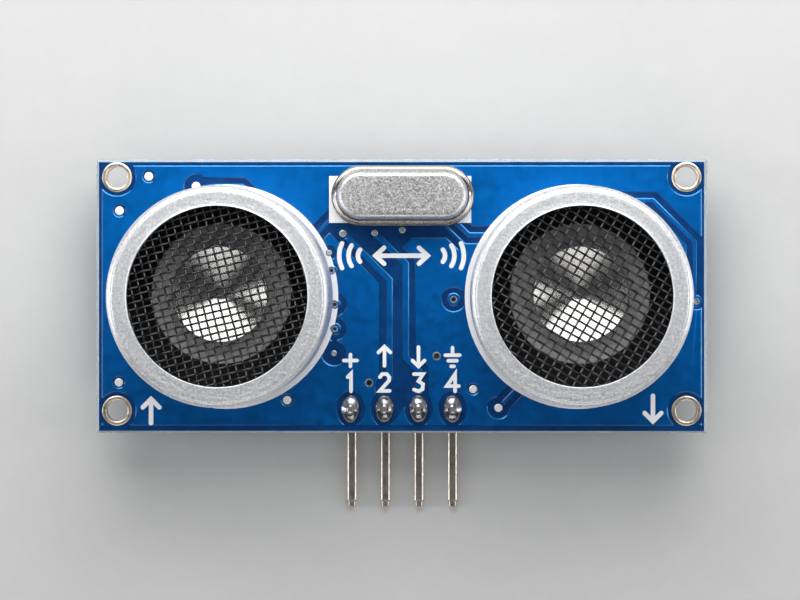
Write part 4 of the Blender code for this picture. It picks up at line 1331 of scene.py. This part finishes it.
def make_chip_parts():
    """Chip resistors and capacitors: a ceramic block with tinned ends, and a glazed top on a resistor."""
    floor = 0.03
    for name in RESISTORS + CAPACITORS:
        x, y, half_x, half_y, top = back_part(name)
        half = Vector((half_x, half_y, 0))
        along = 0 if half.x > half.y else 1
        is_resistor = name in RESISTORS
        look, slot = ("alumina", "resistor") if is_resistor else ("capacitor", "capacitor")
        body, ends, glaze = bmesh.new(), bmesh.new(), bmesh.new()
        core = shrunk(half, along, 0.03, 0.015)
        lift = 0.02 if is_resistor else 0.01
        add_box(body, (x - core.x, y - core.y, floor + 0.01), (x + core.x, y + core.y, top - lift), 0.03)
        end = 0.3 if half[along] < 0.9 else 0.4
        for side in (-1, 1):
            low, high = Vector((x, y, 0)) - half, Vector((x, y, 0)) + half
            if side < 0:
                high[along] = low[along] + end
            else:
                low[along] = high[along] - end
            add_box(ends, (low.x, low.y, floor), (high.x, high.y, top), 0.05, 3)
        keep = {"on_back": True, "replaces": [name]}
        piece(name + "_block", body, look, slot, smooth_angle=30, **keep)
        piece(name + "_ends", ends, "tin", "tin", **keep)
        if is_resistor:
            cover = shrunk(half, along, end - 0.02, 0.05)
            low, high = (x - cover.x, y - cover.y, top - 0.05), (x + cover.x, y + cover.y, top - 0.004)
            add_box(glaze, low, high, 0.015)
            piece(name + "_glaze", glaze, "resistor", slot, smooth_angle=30, **keep)


def make_back_print():
    """White outlines round the parts on the back, and pin numbers beside the header."""
    lines = []
    for name in CHIPS:
        x, y, _, half_y, _ = back_part(name)
        half_y += 0.22
        for side in (-1, 1):
            lines.append([(x - 1.75, y + side * half_y), (x + 1.75, y + side * half_y)])
        lines.append(arc(x, y + half_y, 0.5, 180, 360))
    for name in RESISTORS + CAPACITORS + ["transistor"]:
        x, y, half_x, half_y, _ = back_part(name)
        for side in (-1, 1):
            if half_y > half_x:
                edge = x + side * (half_x + 0.26)
                lines.append([(edge, y - half_y * 0.75), (edge, y + half_y * 0.75)])
            else:
                edge = y + side * (half_y + 0.26)
                lines.append([(x - half_x * 0.75, edge), (x + half_x * 0.75, edge)])
    lines += [arc(x, y, 1.2, 0, 350, 28) for x, y in CRYSTAL_LEADS]
    marks = [Track(line, 0.15) for line in lines]
    for number, (x, _) in enumerate(PINS, 1):
        for line in DIGITS[number]:
            marks.append(Track([(x - (a - 0.5) * 0.7, -6.85 + b * 0.5) for a, b in line], 0.18))
    keep_off = [box_patch(x, y, wide + 0.15, tall + 0.15) for x, y, wide, tall in back_pads()]
    keep_off += [Disc(x, y, r + 0.08) for x, y, r in through_pads()]
    keep_off += [Disc(x, y, pad + 0.1) for x, y, _, pad, _ in FRONT_VIAS]
    bm = Layer(("add", marks), ("cut", keep_off)).solid(MASK_TOP, INK_TOP)
    piece("silkscreen_back", bm, "silkscreen", "solder_mask", on_back=True, smooth_angle=0)


# ---------------------------------------------------------------- floor, light and camera

CAMERA_HEIGHT = 300.0
CAMERA_SIDE = 3.4
AIM = (-0.112, -0.306)
LENS = 180.9


def area_light(name, place, size, power):
    """A soft box at a place in board millimetres, turned to the module."""
    data = bpy.data.lights.new(name, "AREA")
    data.shape = "RECTANGLE"
    data.size, data.size_y = size[0] * MM, size[1] * MM
    data.energy = power
    light = placed(name, data)
    light.location = FRONT + Vector(place) * MM
    direction = FRONT + Vector((0, 0, 6)) * MM - light.location
    light.rotation_euler = direction.to_track_quat("-Z", "Y").to_euler()
    light.visible_camera = False


def make_stage():
    bm = bmesh.new()
    bmesh.ops.create_grid(bm, x_segments=8, y_segments=8, size=1.5)
    mesh = mesh_of(bm)
    mesh.materials.append(LOOKS["floor"])
    floor = placed("floor", mesh)
    floor.location = (FRONT.x, FRONT.y, CAD_BOX[0][2] - 0.02 * MM)

    world = bpy.data.worlds.new("studio")
    world.use_nodes = True
    background = world.node_tree.nodes["Background"]
    background.inputs["Color"].default_value = (0.9, 0.95, 1.0, 1.0)
    background.inputs["Strength"].default_value = 0.06
    bpy.context.scene.world = world

    area_light("key_light", (0, 80, 80), (172, 88), 0.2)
    area_light("front_fill", (0, -107, 99), (185, 36), 0.05)
    area_light("front_low_strip", (0, -134, 72), (190, 12), 0.014)
    area_light("left_strip", (-240, 0, 61), (80, 262), 0.285)
    area_light("right_strip", (240, 0, 61), (80, 262), 0.265)


def make_camera():
    data = bpy.data.cameras.new("camera")
    data.lens = LENS
    data.sensor_width = 36.0
    data.clip_start, data.clip_end = 0.01, 10.0
    camera = placed("camera", data)
    target = FRONT + Vector((*AIM, 0)) * MM
    camera.location = FRONT + Vector((CAMERA_SIDE, AIM[1], CAMERA_HEIGHT)) * MM
    backward = (camera.location - target).normalized()
    sideways = Vector((0, 1, 0)).cross(backward).normalized()
    upward = backward.cross(sideways)
    camera.rotation_euler = Matrix((sideways, upward, backward)).transposed().to_euler()
    bpy.context.scene.camera = camera
    bpy.context.scene.view_settings.view_transform = "Standard"


# ---------------------------------------------------------------- carried-over CAD nodes


def dress(node, look):
    """Gives a CAD node that stays in view a procedural material."""
    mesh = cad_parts[node].data
    for i in range(len(mesh.materials)):
        mesh.materials[i] = LOOKS[look]
    if not mesh.materials:
        mesh.materials.append(LOOKS[look])


def dress_cad_nodes():
    for unit in UNITS:
        dress(unit + "_base", "phenolic")
        dress(unit + "_elastic_ring", "silicone")
        dress(unit + "_piezo_disc", "piezo")
        for side in ("upper", "lower"):
            dress(f"{unit}_terminal_{side}", "terminal")
            dress(f"{unit}_lead_wire_{side}", "enamel")
    for side in ("left", "right"):
        dress("crystal_lead_" + side, "tin")
    dress("crystal_quartz_blank", "quartz")


# ---------------------------------------------------------------- assembly


def main():
    make_laminate()
    make_masks()
    make_front_copper()
    make_vias()
    make_plated_holes()
    make_silkscreen()
    for unit in UNITS:
        make_can(unit)
        make_screen(unit)
        make_plate(unit)
        make_horn(unit)
    make_crystal()
    make_header_strip()
    make_header_pins()
    make_header_solder()
    make_back_copper()
    make_back_solder()
    make_chips()
    make_transistor()
    make_chip_parts()
    make_back_print()
    dress_cad_nodes()
    make_stage()
    make_camera()


main()
